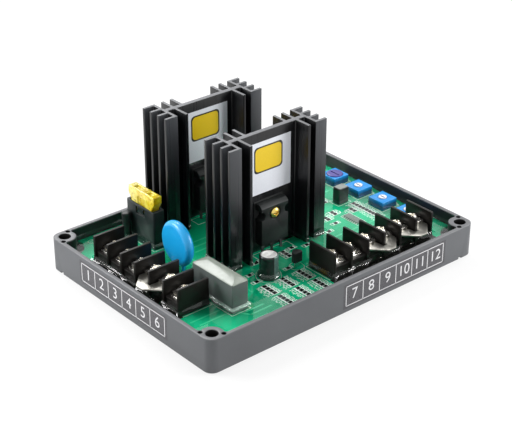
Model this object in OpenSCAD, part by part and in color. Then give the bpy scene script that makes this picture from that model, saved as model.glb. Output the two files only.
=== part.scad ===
// Automatic voltage regulator: a circuit board potted in a shallow moulded tray, with two finned
// heatsinks, two six-way barrier terminal blocks, a blade fuse and four trimmers.
// Millimetres, +Z up, origin at the centre of the tray's underside.

/* [Tray] */
// Length of the tray along X
case_l = 155; // [150:1:175]
// Width of the tray along Y
case_w = 115; // [113:1:130]
// Height of the tray
case_h = 16; // [14:0.5:20]
// Thickness of the tray's side walls
case_wall = 2; // [1.5:0.1:2.4]
// Thickness of the tray's floor
case_floor = 2; // [1:0.1:3]
// Radius of the tray's outer corners
case_r = 4.4; // [3:0.1:4.8]
// Width of the ledge that carries the board
ledge_w = 1.5; // [0.8:0.1:3]
// Radius of the round corner bosses
boss_r = 5.2; // [4.4:0.1:6]
// Radius of the fillets between the bosses and the walls
boss_fillet = 1.2; // [0.5:0.1:2]
// Diameter of the four mounting holes
mount_hole_d = 5.4; // [4:0.1:6]
// Distance of the mounting holes from the outer faces
mount_inset = 4.9; // [4.6:0.1:6]
// Diameter of the small pilot holes beside each mounting hole
pilot_d = 2; // [1:0.1:2.2]
// Distance of the pilot holes from the outer face
pilot_inset = 1.85; // [1.4:0.05:2]
// Distance of the pilot holes along the wall from the mounting hole
pilot_along = 3.7; // [3.3:0.1:5]
// Depth of the pilot holes
pilot_depth = 8; // [3:0.5:10]
// Width of the small notches in the bottom edge
notch_w = 1.6; // [0.8:0.1:3]
// Height of the small notches in the bottom edge
notch_h = 0.9; // [0.4:0.1:1.5]

/* [Board and resin] */
// Thickness of the circuit board
board_t = 1.6; // [1:0.1:2.4]
// Height of the board's upper face above the base
board_top = 7; // [6:0.1:8]
// Clearance between the board and the tray wall
board_gap = 0.3; // [0.2:0.05:0.6]
// Radius of the cut-outs round the bosses in the board's corners
board_notch_r = 8.5; // [7.5:0.1:9.5]
// Height of the potting resin's surface above the base
resin_top = 11.5; // [10:0.1:12]
// Clearance between the resin and everything that it surrounds
resin_gap = 0.1; // [0.05:0.05:0.3]
// Length of a lead below the board
lead_tail = 1.2; // [0.5:0.1:2]
// Diameter of the round component leads
lead_d = 0.8; // [0.5:0.05:1]
// Radial clearance of a lead in its board hole
lead_gap = 0.15; // [0.1:0.05:0.3]

/* [Terminal blocks] */
// Distance between neighbouring ways
pitch = 10; // [9.6:0.1:10.4]
// Depth of a block from its front to its rear
block_depth = 16; // [14:0.5:18]
// Thickness of the barrier walls
barrier_t = 1.3; // [1:0.1:1.8]
// Height of the barrier walls' top above the base
barrier_top = 22.5; // [21:0.5:28]
// Height of the floor that carries the terminal plates
way_floor = 15; // [13:0.1:16]
// Depth by which the block's front face lies behind the barriers
front_setback = 0.9; // [0.3:0.1:2]
// Distance of the left block's front from the tray's outer face
left_setback = 8.2; // [6:0.1:10]
// Place of the left block's middle along Y
left_block_y = 4; // [2:0.5:6]
// Distance of the right block's front from the tray's outer face
right_setback = 11.2; // [8:0.1:12]
// Distance of the right block's middle from the tray's right face
right_block_inset = 46.9; // [46.5:0.1:49]
// Width of a terminal plate and of a clamp plate
plate_w = 7.4; // [6:0.1:8]
// Length of a terminal plate
plate_l = 11; // [9:0.1:12]
// Thickness of a terminal plate
plate_t = 0.8; // [0.5:0.1:1.2]
// Length of a clamp plate
clamp_l = 8; // [7:0.1:9]
// Thickness of a clamp plate
clamp_t = 1; // [0.6:0.1:1.4]
// Diameter of the terminal screws' shank
screw_d = 3.4; // [2.5:0.1:3.8]
// Diameter of the terminal screws' head
screw_head_d = 6.6; // [5.5:0.1:7]
// Height of the terminal screws' head
screw_head_h = 2.4; // [1.5:0.1:3]
// Length of the terminal screws' shank
screw_l = 7; // [5:0.1:8]
// Width of the links across two ways
link_w = 17; // [16:0.1:18]
// Thickness of the links
link_t = 0.8; // [0.5:0.1:1]
// Length of the links' nose in front of the barriers
link_nose = 5; // [3:0.1:6]
// Width of the links' blunt tip
link_tip_w = 4.4; // [2:0.1:8]

/* [Heatsinks] */
// Height of the heatsink extrusions
sink_h = 60; // [45:1:80]
// Height at which the heatsinks' pins hold them above the board
sink_lift = 1; // [0.5:0.1:1.5]
// Place of both heatsinks' middle along X
sink_x = -2.6; // [-4:0.1:-1]
// Place of the front heatsink's web along Y
front_sink_y = -4.4; // [-6:0.1:-3]
// Distance between the two webs
sink_spacing = 44.1; // [36:0.1:46]
// Thickness of the web
web_t = 2.4; // [2:0.1:3]
// Thickness of the fins
fin_t = 1.4; // [1:0.1:1.8]
// Distance of the cross fins from the middle
cross_fin_x = 16.6; // [15:0.1:17.5]
// Reach of the cross fins in front of the web's middle
cross_fin_reach = 9.5; // [8:0.1:11]
// Distance of the rear fins from the middle
rear_fin_x = 11.7; // [9:0.1:13]
// Distance of the end bars from the middle
end_bar_x = 21.8; // [20:0.1:24]
// Distance between neighbouring teeth on the end bars
tooth_pitch = 5.3; // [4:0.1:5.6]
// Distance of the teeth's tips from the middle
tooth_tip_x = 27.6; // [25:0.1:28]
// Radius of the fillets at the roots of the fins
root_r = 0.5; // [0.2:0.1:0.8]
// Diameter of the heatsinks' solder pins
sink_pin_d = 1.4; // [1:0.1:1.6]
// Diameter of the solder pins' shoulders
sink_shoulder_d = 2.8; // [2:0.1:4]
// Depth of the solder pins in the web
sink_pin_depth = 6; // [3:0.5:10]

/* [Power devices] */
// Width of a power device
device_w = 15.4; // [14:0.1:17]
// Height of a power device
device_h = 19.9; // [19:0.1:22]
// Thickness of a power device
device_t = 4.6; // [4:0.1:5.5]
// Height of a power device's lower end above the base
device_z = 14.9; // [13:0.1:17]
// Distance of the device screw from the device's upper end
device_hole_down = 5.3; // [5:0.1:7]
// Diameter of the device's screw hole
device_hole_d = 3.6; // [3.3:0.1:4]
// Diameter of the dish round the device's screw hole
device_dish_d = 6.4; // [6.2:0.1:7.5]
// Depth of that dish
device_dish_depth = 0.6; // [0.3:0.1:1]
// Radius of the half-round notches in the device's sides
device_notch_r = 2.1; // [1.5:0.1:2.6]
// Size of the bevel along the device's upper front edge
device_bevel = 1.6; // [0.5:0.1:2]
// Distance between neighbouring device leads
device_lead_pitch = 5.45; // [4:0.05:6]
// Width of a device lead
device_lead_w = 1.2; // [0.8:0.1:2]
// Thickness of a device lead
device_lead_t = 0.6; // [0.4:0.1:0.9]
// Width of a device lead's shoulder next to the body
device_shoulder_w = 2; // [1.2:0.1:3]
// Length of that shoulder
device_shoulder_l = 2.4; // [1:0.1:3]
// Thickness of the insulating pads behind the devices
pad_t = 0.3; // [0.2:0.05:0.5]
// Margin of the insulating pads round the devices
pad_margin = 0.6; // [0.3:0.1:2]
// Diameter of the device screws' shank
device_screw_d = 2.9; // [2.5:0.1:3.2]
// Diameter of the device screws' head
device_screw_head_d = 4.8; // [4.4:0.1:6]
// Height of the device screws' head
device_screw_head_h = 1.8; // [1.4:0.1:2.6]
// Length of the device screws' end behind the web
device_screw_end = 1.6; // [0.5:0.1:3]
// Width of the blank stickers on the webs
sticker_w = 26; // [18:0.5:30]
// Height of the blank stickers
sticker_h = 25; // [15:0.5:27]
// Thickness of the blank stickers
sticker_t = 0.15; // [0.1:0.05:0.3]
// Distance of the stickers from the heatsinks' upper end
sticker_down = 4.6; // [3:0.1:6]

/* [Fuse] */
// Place of the fuse holder between the left block and the heatsinks, as a share of the gap
holder_share = 0.576; // [0.54:0.002:0.6]
// Place of the fuse holder's middle along Y
holder_y = 35.4; // [33:0.1:38]
// Length of the fuse holder along Y
holder_l = 20.6; // [20:0.1:23]
// Thickness of the fuse holder's side walls
holder_wall = 0.7; // [0.6:0.05:1.2]
// Size of the chamfers on the fuse holder's upright edges
holder_chamfer = 0.5; // [0.2:0.1:0.8]
// Height of the fuse holder's top above the base
holder_top = 28.3; // [26:0.1:32]
// Length of the opening in the fuse holder's top
holder_opening = 17; // [16.4:0.1:18]
// Depth by which the fuse body sits in its holder
fuse_seat = 4; // [2:0.1:6]
// Length of the fuse's head
fuse_l = 19.1; // [18:0.1:20]
// Thickness of the fuse
fuse_t = 4.5; // [4:0.1:5.4]
// Height of the fuse above its holder
fuse_rise = 6.8; // [4:0.1:9]
// Height of the fuse's wide head
fuse_head_h = 3.4; // [2:0.1:4]
// Length of the fuse's lower body
fuse_foot_l = 15; // [14.6:0.1:16]
// Width of a fuse blade
blade_w = 4.4; // [4:0.1:4.6]
// Thickness of a fuse blade
blade_t = 0.65; // [0.5:0.05:0.8]
// Length of the fuse blades below the body
blade_l = 7; // [5:0.5:8]
// Distance between the middles of the two blades
blade_pitch = 9.8; // [9:0.1:10]
// Thickness of a contact's spring leaf
leaf_t = 0.5; // [0.3:0.05:0.7]
// Clearance between the fuse and its holder
fuse_gap = 0.1; // [0.05:0.05:0.2]
// Width of the slot round the tongue in the holder's outer wall
holder_slot_w = 1; // [0.6:0.1:2]
// Height of that tongue
holder_slot_h = 3.4; // [2:0.1:4]
// Distance of that tongue from the holder's top
holder_slot_down = 1.4; // [0.8:0.1:2.5]
// Width of that tongue and its slot
holder_slot_pitch = 5.2; // [3:0.1:8]
// Depth of the windows in the fuse's faces
fuse_window = 0.5; // [0.2:0.1:1]

/* [Capacitors and varistor] */
// Thickness of the film capacitor along X
film_t = 8.5; // [7:0.1:10]
// Length of the film capacitor along Y
film_l = 26.5; // [24:0.1:28]
// Height of the film capacitor's top above the base
film_top = 23.3; // [20:0.1:28]
// Distance of the film capacitor from the left block
film_gap = 2.3; // [1:0.1:3]
// Place of the film capacitor's middle along Y
film_y = -26; // [-30:0.1:-24]
// Wall of the film capacitor's case
film_wall = 0.9; // [0.6:0.1:1.4]
// Depth of the filling below the case's rim
film_recess = 0.6; // [0.2:0.1:1.5]
// Distance between the film capacitor's leads
film_lead_pitch = 22.5; // [15:0.5:22.5]
// Diameter of the electrolytic capacitor's can
can_d = 8; // [6.3:0.1:9]
// Height of the electrolytic capacitor's top above the base
can_top = 21; // [18:0.1:26]
// Radius of the can's rolled upper edge
can_edge_r = 0.8; // [0.4:0.1:1.2]
// Thickness of the electrolytic capacitor's sleeve
sleeve_t = 0.2; // [0.1:0.05:0.3]
// Clearance between the sleeve and the can
sleeve_gap = 0.05; // [0.02:0.01:0.1]
// Depth of the dish in the can's vented top
can_dish = 0.25; // [0.1:0.05:0.5]
// Place of the electrolytic capacitor along X
can_x = -19.3; // [-22:0.1:-16]
// Place of the electrolytic capacitor along Y
can_y = -25.6; // [-26:0.1:-22]
// Height of the electrolytic capacitor's rubber bung
bung_h = 1.6; // [1:0.1:3]
// Diameter of the varistor disc
varistor_d = 21; // [18:0.5:24]
// Thickness of the varistor disc
varistor_t = 4.5; // [3.5:0.1:5]
// Height of the varistor's middle above the base
varistor_z = 23.8; // [23.6:0.1:27]
// Place of the varistor between the left block and the heatsinks, as a share of the gap
varistor_share = 0.303; // [0.28:0.002:0.36]
// Place of the varistor along Y
varistor_y = 3.4; // [1:0.1:6]
// Turn of the varistor about the upright
varistor_turn = -3; // [-10:1:10]
// Distance between the varistor's leads
varistor_lead_pitch = 7.5; // [7.5:0.5:10]
// Width of the black box capacitor along X
box_w = 6.6; // [5:0.1:7]
// Thickness of the black box capacitor along Y
box_t = 4.6; // [3:0.1:5]
// Height of the black box capacitor's top above the base
box_top = 18.1; // [14:0.1:20]
// Radius of the black box capacitor's upper edges
box_edge_r = 1.2; // [0.5:0.1:1.5]
// Distance of the black box capacitor's middle from the tray's right face
box_inset = 24.2; // [23.8:0.1:26]
// Place of the black box capacitor along Y
box_y = 5.9; // [5.6:0.1:9]
// Diameter of the sleeved choke
choke_d = 4.2; // [4:0.1:5.4]
// Height of the sleeved choke's top above the base
choke_top = 23.2; // [18:0.1:25]
// Distance of the sleeved choke from the fuse holder
choke_gap = 0.4; // [0.3:0.1:1]
// Place of the sleeved choke along Y
choke_y = 42.7; // [41:0.1:44]

/* [Trimmers and small parts] */
// Side of a trimmer's square housing
trimmer_w = 9.5; // [8:0.1:10]
// Height of the trimmers' top above the base
trimmer_top = 13.8; // [13.2:0.1:16]
// Distance of the trimmers' middle from the tray's outer face
trimmer_inset = 11.1; // [9:0.1:11.2]
// Place of the rearmost trimmer along Y
trimmer_y = 24; // [23:0.1:28]
// Distance between neighbouring trimmers
trimmer_pitch = 16.6; // [13:0.1:16.8]
// Diameter of the rearmost trimmer's broad rotor
broad_rotor_d = 7.8; // [6:0.1:8]
// Diameter of the other trimmers' rotors
rotor_d = 3.9; // [3.5:0.1:5]
// Thickness of a rotor's disc
rotor_t = 1.1; // [0.8:0.1:1.5]
// Diameter of a rotor's stem
stem_d = 2.4; // [1.5:0.1:3]
// Length of a rotor's stem
stem_l = 2.2; // [1:0.1:2.5]
// Height of a rotor's face above its housing
rotor_proud = 0.3; // [0.1:0.1:0.8]
// Clearance between a rotor and its housing
rotor_gap = 0.15; // [0.1:0.05:0.25]
// Width of the screwdriver slot in a rotor
slot_w = 0.8; // [0.5:0.1:1.1]
// Depth of the screwdriver slot in a rotor
slot_depth = 0.6; // [0.3:0.1:0.7]
// Diameter of the small transistor
transistor_d = 4.8; // [4:0.1:5]
// Height of the small transistor's body
transistor_h = 4.8; // [4:0.1:5.5]
// Height of the small transistor's top above the base
transistor_top = 17; // [16:0.1:19]
// Place of the small transistor along X
transistor_x = -3.8; // [-6:0.1:-3.6]
// Place of the small transistor along Y
transistor_y = -26.6; // [-27:0.1:-24]
// Length of the control chip along Y
ic_l = 9.9; // [9.2:0.1:10.5]
// Width of the control chip along X
ic_w = 3.9; // [3:0.1:4.5]
// Height of the control chip above the board
ic_h = 1.75; // [1.3:0.05:2.4]
// Distance between neighbouring legs of the control chip
ic_pitch = 1.27; // [1:0.01:1.27]
// Distance of the control chip's middle from the tray's right face
ic_inset = 31.9; // [31:0.1:34]
// Place of the control chip along Y
ic_y = -11; // [-13:0.1:-10]
// Length of a chip resistor with its end caps
chip_l = 3.2; // [2:0.1:3.4]
// Width of a chip resistor
chip_w = 1.6; // [0.8:0.1:1.7]
// Height of a chip resistor
chip_h = 0.65; // [0.4:0.05:1]
// Length of a chip resistor's end caps
chip_cap = 0.55; // [0.3:0.05:0.8]
// Distance between neighbouring chip resistors in a bank
chip_pitch = 2.2; // [2:0.05:2.3]

/* [Hidden] */
$fn = 64;

// overshoot that lets a cut pass cleanly through a face
cut = 0.5;
// overlap that joins a fillet to its neighbours
lap = 0.1;
board_bottom = board_top - board_t;
cavity_l = case_l - 2 * case_wall;
cavity_w = case_w - 2 * case_wall;
cavity_r = max(case_r - case_wall, 0.5);
mount_x = case_l / 2 - mount_inset;
mount_y = case_w / 2 - mount_inset;
// place of the fillets' middles, seen from the bosses' middles
fillet_off = mount_inset - case_wall - boss_fillet;
fillet_along = sqrt((boss_r + boss_fillet) * (boss_r + boss_fillet) - fillet_off * fillet_off);

ways = 6;
left_block_x = -case_l / 2 + left_setback + block_depth / 2;
right_block_x = case_l / 2 - right_block_inset;
right_block_y = -case_w / 2 + right_setback + block_depth / 2;
row_l = ways * pitch + barrier_t;
plate_top = way_floor + plate_t;
// the tail of a terminal plate stands behind its screw
tail_inset = 1.6;
tail_y = plate_l / 2 - tail_inset;
tail_d = 1.4;
screw_hole_gap = 0.15;
// thickness of the block below its screw holes
block_floor = 0.8;
// the ways whose clamp plates lie on a link, counted from the block's first end
left_linked = [3, 4];
right_linked = [2, 3, 4, 5];
// clearance between a link's slot and the barrier or screw in it
link_gap = 0.6;
// distance of the links' rear edge from the clamp plates' rear edge
link_rear_gap = 0.6;

rear_sink_y = front_sink_y + sink_spacing;
sink_z = board_top + sink_lift;
sink_top = sink_z + sink_h;
bar_half = 1.5 * tooth_pitch + fin_t / 2;
sink_ys = [front_sink_y, rear_sink_y];
device_hole_z = device_z + device_h - device_hole_down;
// depth of the device's middle in front of the web's middle
device_back = web_t / 2 + pad_t;
lead_depth = device_back + device_t / 2;

// gap between the left block's rear and the heatsinks' teeth
left_rear_x = left_block_x + block_depth / 2;
left_gap = sink_x - tooth_tip_x - left_rear_x;
holder_x = left_rear_x + holder_share * left_gap;
holder_w = fuse_t + 2 * holder_wall + 2 * fuse_gap;
fuse_z = holder_top - fuse_seat;
fuse_top = holder_top + fuse_rise;
contact_gap = 0.05;
contact_margin = 0.4;
contact_w = blade_w + 2 * contact_margin;
clip_t = blade_t + 2 * leaf_t + 2 * contact_gap;
// depth of the test openings in the fuse's head
test_depth = 1;
clip_top = fuse_z - contact_margin;
// clearance between a blade's tip and the floor of its contact
clip_floor_gap = 0.5;
clip_bottom = fuse_z - blade_l - clip_floor_gap - leaf_t;

film_x = left_rear_x + film_gap + film_t / 2;
sleeve_r = can_d / 2 + sleeve_gap + sleeve_t;
// width by which the sleeve's upper edge turns over the can
sleeve_lip = 0.35;
can_stand = 0.6;
can_z = board_top + can_stand;
vent_d = can_d - 3 * can_edge_r;
// width and depth of the scored cross in the vent
score_w = 0.35;
score_depth = 0.15;
varistor_x = left_rear_x + varistor_share * left_gap;
box_x = case_l / 2 - box_inset;
choke_edge_r = 0.7;
choke_r = choke_d / 2;
choke_x = holder_x - holder_w / 2 - choke_gap - choke_r;
box_lead_inset = 0.8;
box_lead_pitch = box_w - 2 * box_lead_inset;
// the varistor's coating runs down its leads to just above the resin
coat_run_gap = 0.5;
coat_run_z = resin_top + coat_run_gap;
coat_run_d = 1.6;
coat_root_d = 3;

trimmer_x = case_l / 2 - trimmer_inset;
trimmer_pin_spread = 5.08;
rotor_ds = [broad_rotor_d, rotor_d, rotor_d, rotor_d];
// share of a rotor's diameter that its slot takes
slot_share = 0.8;
transistor_z = transistor_top - transistor_h;
transistor_flat = 1.2;
transistor_lead_pitch = 1.27;
transistor_lead_d = 0.48;
ic_x = case_l / 2 - ic_inset;
ic_stand = 0.2;
ic_legs_per_side = 8;
ic_foot = 1;
ic_leg_w = 0.42;
ic_leg_t = 0.22;

// banks of chip resistors: first chip's x and y, how many follow each other along -Y, and the turn
// the front banks stand in the strip between the film capacitor and the right block
strip_x = film_x + film_t / 2;
strip_l = right_block_x - row_l / 2 - strip_x;
front_banks = [for (y = [-30.8, -41]) for (share = [0.382, 0.622, 0.857])
    [strip_x + share * strip_l, y, 4, 0]];
// the right banks are placed by their distance from the tray's right face
right_banks = [for (b = [[20.9, 0.4, 9], [25.9, -3.2, 2], [41.3, -1.6, 2], [35.1, 0.4, 2], [30.7, 12.4, 2],
    [41.1, -8.6, 1], [49.1, -12.4, 1]]) [case_l / 2 - b[0], b[1], b[2], 0]];
// the others are placed from the heatsinks' middle
sink_banks = [for (b = [[2.2, -13.3, 3, 0], [7.8, -12.8, 1, 0], [15.1, -15.2, 1, 0], [-13.4, -12.7, 1, 0],
    [-5.4, -25.4, 1, 0], [-23.5, -25.5, 1, 0], [-22.3, -19.2, 1, 0], [-30.8, -7.6, 1, 90]])
    [sink_x + b[0], b[1], b[2], b[3]]];
chip_banks = concat(front_banks, right_banks, sink_banks);
chip_places = [for (b = chip_banks) for (k = [0 : b[2] - 1]) [b[0], b[1] - k * chip_pitch, b[3]]];

// Places of every lead that passes through the board, as x, y and diameter

function pair_along_y(x, y, spread, d) = [for (s = [-1, 1]) [x, y + s * spread / 2, d]];
function pair_along_x(x, y, spread, d) = [for (s = [-1, 1]) [x + s * spread / 2, y, d]];
function way_x(i) = (i - (ways - 1) / 2) * pitch;
function barrier_x(j) = (j - ways / 2) * pitch;
function trimmer_place_y(n) = trimmer_y - (n - 1) * trimmer_pitch;

film_leads = pair_along_y(film_x, film_y, film_lead_pitch, lead_d);
can_leads = pair_along_x(can_x, can_y, can_d * 0.44, lead_d);
box_leads = pair_along_x(box_x, box_y, box_lead_pitch, lead_d);
choke_leads_at = pair_along_y(choke_x, choke_y, choke_d * 0.5, lead_d);
varistor_leads_at = [for (s = [-1, 1])
    [varistor_x - s * sin(varistor_turn) * varistor_lead_pitch / 2,
     varistor_y + s * cos(varistor_turn) * varistor_lead_pitch / 2, lead_d]];
transistor_leads_at = [for (k = [-1 : 1])
    [transistor_x + k * transistor_lead_pitch, transistor_y, transistor_lead_d]];
trimmer_pins_at = [for (n = [1 : 4])
    each [[trimmer_x - trimmer_pin_spread / 2, trimmer_place_y(n) - trimmer_pin_spread / 2, lead_d],
          [trimmer_x + trimmer_pin_spread / 2, trimmer_place_y(n), lead_d],
          [trimmer_x - trimmer_pin_spread / 2, trimmer_place_y(n) + trimmer_pin_spread / 2, lead_d]]];
sink_pins_at = [for (y = sink_ys) for (s = [-1, 1]) [sink_x + s * cross_fin_x, y, sink_pin_d]];
device_lead_d = sqrt(device_lead_w * device_lead_w + device_lead_t * device_lead_t);
device_leads_at = [for (y = sink_ys) for (k = [-1 : 1])
    [sink_x + k * device_lead_pitch, y - lead_depth, device_lead_d]];
contact_pins_at = pair_along_y(holder_x, holder_y, blade_pitch, tail_d);
terminal_tails_at = [for (i = [0 : ways - 1])
    each [[left_block_x + tail_y, left_block_y - way_x(i), tail_d],
          [right_block_x + way_x(i), right_block_y + tail_y, tail_d]]];
board_holes = concat(film_leads, can_leads, box_leads, choke_leads_at, varistor_leads_at,
    transistor_leads_at, trimmer_pins_at, sink_pins_at, device_leads_at, contact_pins_at,
    terminal_tails_at);

// Shapes that several pieces share

module rounded_square(l, w, r) {
    square([l - 2 * r, w], center = true);
    square([l, w - 2 * r], center = true);
    for (sx = [-1, 1])
        for (sy = [-1, 1])
            translate([sx * (l / 2 - r), sy * (w / 2 - r)])
                circle(r);
}

// half section of an upright round body whose upper edge is rolled over
module rolled_side(bottom, top, r, edge_r) {
    translate([0, bottom])
        square([r, top - edge_r - bottom]);
    translate([0, bottom])
        square([r - edge_r, top - bottom]);
    translate([r - edge_r, top - edge_r])
        intersection() {
            circle(edge_r, $fn = 32);
            square(edge_r);
        }
}

module block_at(x, y, z, size) {
    translate([x - size[0] / 2, y - size[1] / 2, z])
        cube(size);
}

module corner_posts(r, z, h) {
    for (sx = [-1, 1])
        for (sy = [-1, 1])
            translate([sx * mount_x, sy * mount_y, z])
                cylinder(r = r, h = h);
}

module chamfered_square(l, w, c) {
    x = l / 2;
    y = w / 2;
    polygon([[-x + c, -y], [x - c, -y], [x, -y + c], [x, y - c],
        [x - c, y], [-x + c, y], [-x, y - c], [-x, -y + c]]);
}

module lead_set(places, top) {
    for (p = places)
        translate([p[0], p[1], board_bottom - lead_tail])
            cylinder(d = p[2], h = top - board_bottom + lead_tail);
}

// domed screw head, flat below, with a cross recess in its crown
module pan_head(d, h, recess_w) {
    dome = h * 0.6;
    ball = (d * d / 4 + dome * dome) / (2 * dome);
    difference() {
        rotate_extrude()
            intersection() {
                translate([0, h - ball])
                    circle(ball, $fn = 128);
                square([d / 2, h]);
            }
        for (turn = [0, 90])
            rotate(turn)
                block_at(0, 0, h * 0.45, [d * 0.58, recess_w, h]);
    }
}

module place_left() {
    translate([left_block_x, left_block_y, 0])
        rotate(-90)
            children();
}

module place_right() {
    translate([right_block_x, right_block_y, 0])
        children();
}

// Tray, board and resin

// boss in the corner towards +X and +Y, grown by a margin, with webs that reach to the two walls
module boss_outline(margin) {
    wall = mount_inset - case_wall - margin;
    circle(boss_r + margin);
    polygon([[0, 0], [-fillet_along, fillet_off], [-fillet_along, wall + lap], [0, wall + lap]]);
    polygon([[0, 0], [fillet_off, -fillet_along], [wall + lap, -fillet_along], [wall + lap, 0]]);
}

// the webs are hollowed to fillets
module filleted_boss() {
    difference() {
        boss_outline(0);
        translate([-fillet_along, fillet_off])
            circle(boss_fillet);
        translate([fillet_off, -fillet_along])
            circle(boss_fillet);
    }
}

module at_corners() {
    for (corner = [[1, 1, 0], [-1, 1, 90], [-1, -1, 180], [1, -1, 270]])
        translate([corner[0] * mount_x, corner[1] * mount_y])
            rotate(corner[2])
                children();
}

module case_tray() {
    color("dimgray")
    difference() {
        linear_extrude(case_h)
            rounded_square(case_l, case_w, case_r);
        translate([0, 0, board_bottom])
            linear_extrude(case_h)
                difference() {
                    rounded_square(cavity_l, cavity_w, cavity_r);
                    at_corners() filleted_boss();
                }
        difference() {
            translate([0, 0, case_floor])
                linear_extrude(case_h)
                    rounded_square(cavity_l - 2 * ledge_w, cavity_w - 2 * ledge_w, cavity_r);
            corner_posts(boss_r, 0, 2 * case_h);
        }
        corner_posts(mount_hole_d / 2, -cut, case_h + 2 * cut);
        pilot_holes();
        bottom_notches();
    }
}

module pilot_holes() {
    for (sx = [-1, 1])
        for (sy = [-1, 1])
            translate([0, 0, case_h - pilot_depth]) {
                translate([sx * (case_l / 2 - pilot_inset), sy * (mount_y - pilot_along)])
                    cylinder(d = pilot_d, h = pilot_depth + cut);
                translate([sx * (mount_x - pilot_along), sy * (case_w / 2 - pilot_inset)])
                    cylinder(d = pilot_d, h = pilot_depth + cut);
            }
}

module bottom_notches() {
    block_at(-case_l / 2, mount_y - pilot_along, -cut, [case_wall, notch_w, notch_h + cut]);
    block_at(mount_x - pilot_along, -case_w / 2, -cut, [notch_w, case_wall, notch_h + cut]);
}

module circuit_board() {
    color("seagreen")
    difference() {
        translate([0, 0, board_bottom])
            linear_extrude(board_t)
                difference() {
                    square([cavity_l - 2 * board_gap, cavity_w - 2 * board_gap], center = true);
                    at_corners() circle(board_notch_r);
                }
        for (p = board_holes)
            translate([p[0], p[1], board_bottom - cut])
                cylinder(d = p[2] + 2 * lead_gap, h = board_t + 2 * cut);
    }
}

module potting_resin() {
    color("palegreen", 0.4)
    difference() {
        translate([0, 0, board_top])
            linear_extrude(resin_top - board_top)
                difference() {
                    rounded_square(cavity_l - 2 * resin_gap, cavity_w - 2 * resin_gap, cavity_r);
                    at_corners() boss_outline(resin_gap);
                }
        resin_wells();
        resin_pockets();
    }
}

// round or square well through the whole resin
module well(x, y, size) {
    block_at(x, y, board_top - cut, [size[0] + 2 * resin_gap, size[1] + 2 * resin_gap, case_h]);
}

module round_well(x, y, d) {
    translate([x, y, board_top - cut])
        cylinder(d = d + 2 * resin_gap, h = case_h);
}

module resin_wells() {
    well(left_block_x, left_block_y, [block_depth, row_l]);
    well(right_block_x, right_block_y, [row_l, block_depth]);
    well(holder_x, holder_y, [holder_w, holder_l]);
    well(film_x, film_y, [film_t, film_l]);
    well(box_x, box_y, [box_w, box_t]);
    round_well(can_x, can_y, 2 * sleeve_r);
    round_well(choke_x, choke_y, choke_d);
    for (n = [1 : 4])
        well(trimmer_x, trimmer_place_y(n), [trimmer_w, trimmer_w]);
    for (p = concat(varistor_leads_at, transistor_leads_at))
        round_well(p[0], p[1], p[2]);
    for (p = device_leads_at)
        well(p[0], p[1], [device_lead_w, device_lead_t]);
    for (y = sink_ys)
        translate([sink_x, y, board_top - cut])
            linear_extrude(case_h) {
                sink_bars(resin_gap);
                for (c = root_corners)
                    translate([c[0] + c[2] * root_r / 2, c[1] + c[3] * root_r / 2])
                        square(root_r + 2 * resin_gap, center = true);
            }
    for (p = sink_pins_at)
        round_well(p[0], p[1], sink_shoulder_d);
}

// closed pockets over the small parts that the resin covers
module resin_pockets() {
    for (p = chip_places)
        translate([p[0], p[1], 0])
            rotate(p[2])
                block_at(0, 0, board_top - cut,
                    [chip_l + 2 * resin_gap, chip_w + 2 * resin_gap, chip_h + resin_gap + cut]);
    block_at(ic_x, ic_y, board_top - cut,
        [ic_w + 2 * ic_foot + 2 * resin_gap, ic_l + 2 * resin_gap, ic_h + resin_gap + cut]);
}

// Barrier terminal blocks. A row runs along X, with its wire side towards -Y

module terminal_block() {
    color([0.13, 0.12, 0.11])
    difference() {
        union() {
            translate([-ways * pitch / 2, -block_depth / 2 + front_setback, board_top])
                cube([ways * pitch, block_depth - front_setback, way_floor - board_top]);
            for (j = [0 : ways])
                block_at(barrier_x(j), 0, board_top, [barrier_t, block_depth, barrier_top - board_top]);
        }
        for (i = [0 : ways - 1]) {
            translate([way_x(i), 0, board_top + block_floor])
                cylinder(d = screw_d + 4 * screw_hole_gap, h = barrier_top);
            translate([way_x(i), tail_y, board_top - cut])
                cylinder(d = tail_d + 2 * screw_hole_gap, h = barrier_top);
        }
    }
}

module terminal_plates() {
    color("silver")
    for (i = [0 : ways - 1])
        translate([way_x(i), 0, 0]) {
            difference() {
                block_at(0, 0, way_floor, [plate_w, plate_l, plate_t]);
                translate([0, 0, way_floor - cut])
                    cylinder(d = screw_d + 2 * screw_hole_gap, h = plate_t + 2 * cut);
            }
            translate([0, tail_y, board_bottom - lead_tail])
                cylinder(d = tail_d, h = plate_top - board_bottom + lead_tail);
        }
}

// height of the face on which a way's clamp plate lies
function clamp_z(i, linked) = plate_top + (len(search(i, linked)) > 0 ? link_t : 0);

module clamp_plates(linked) {
    color("gainsboro")
    for (i = [0 : ways - 1])
        translate([way_x(i), 0, clamp_z(i, linked)])
            difference() {
                block_at(0, 0, 0, [plate_w, clamp_l, clamp_t]);
                translate([0, 0, -cut])
                    cylinder(d = screw_d + 2 * screw_hole_gap, h = clamp_t + 2 * cut);
                // shallow groove for the wire on either side of the screw
                for (s = [-1, 1])
                    translate([s * plate_w / 4, 0, 0])
                        rotate([90, 0, 0])
                            cylinder(d = clamp_t, h = clamp_l + 2 * cut, center = true);
            }
}

module terminal_screws(linked) {
    color("lightgray")
    for (i = [0 : ways - 1])
        translate([way_x(i), 0, clamp_z(i, linked) + clamp_t]) {
            pan_head(screw_head_d, screw_head_h, 1);
            translate([0, 0, -screw_l])
                cylinder(d = screw_d, h = screw_l);
        }
}

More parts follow.
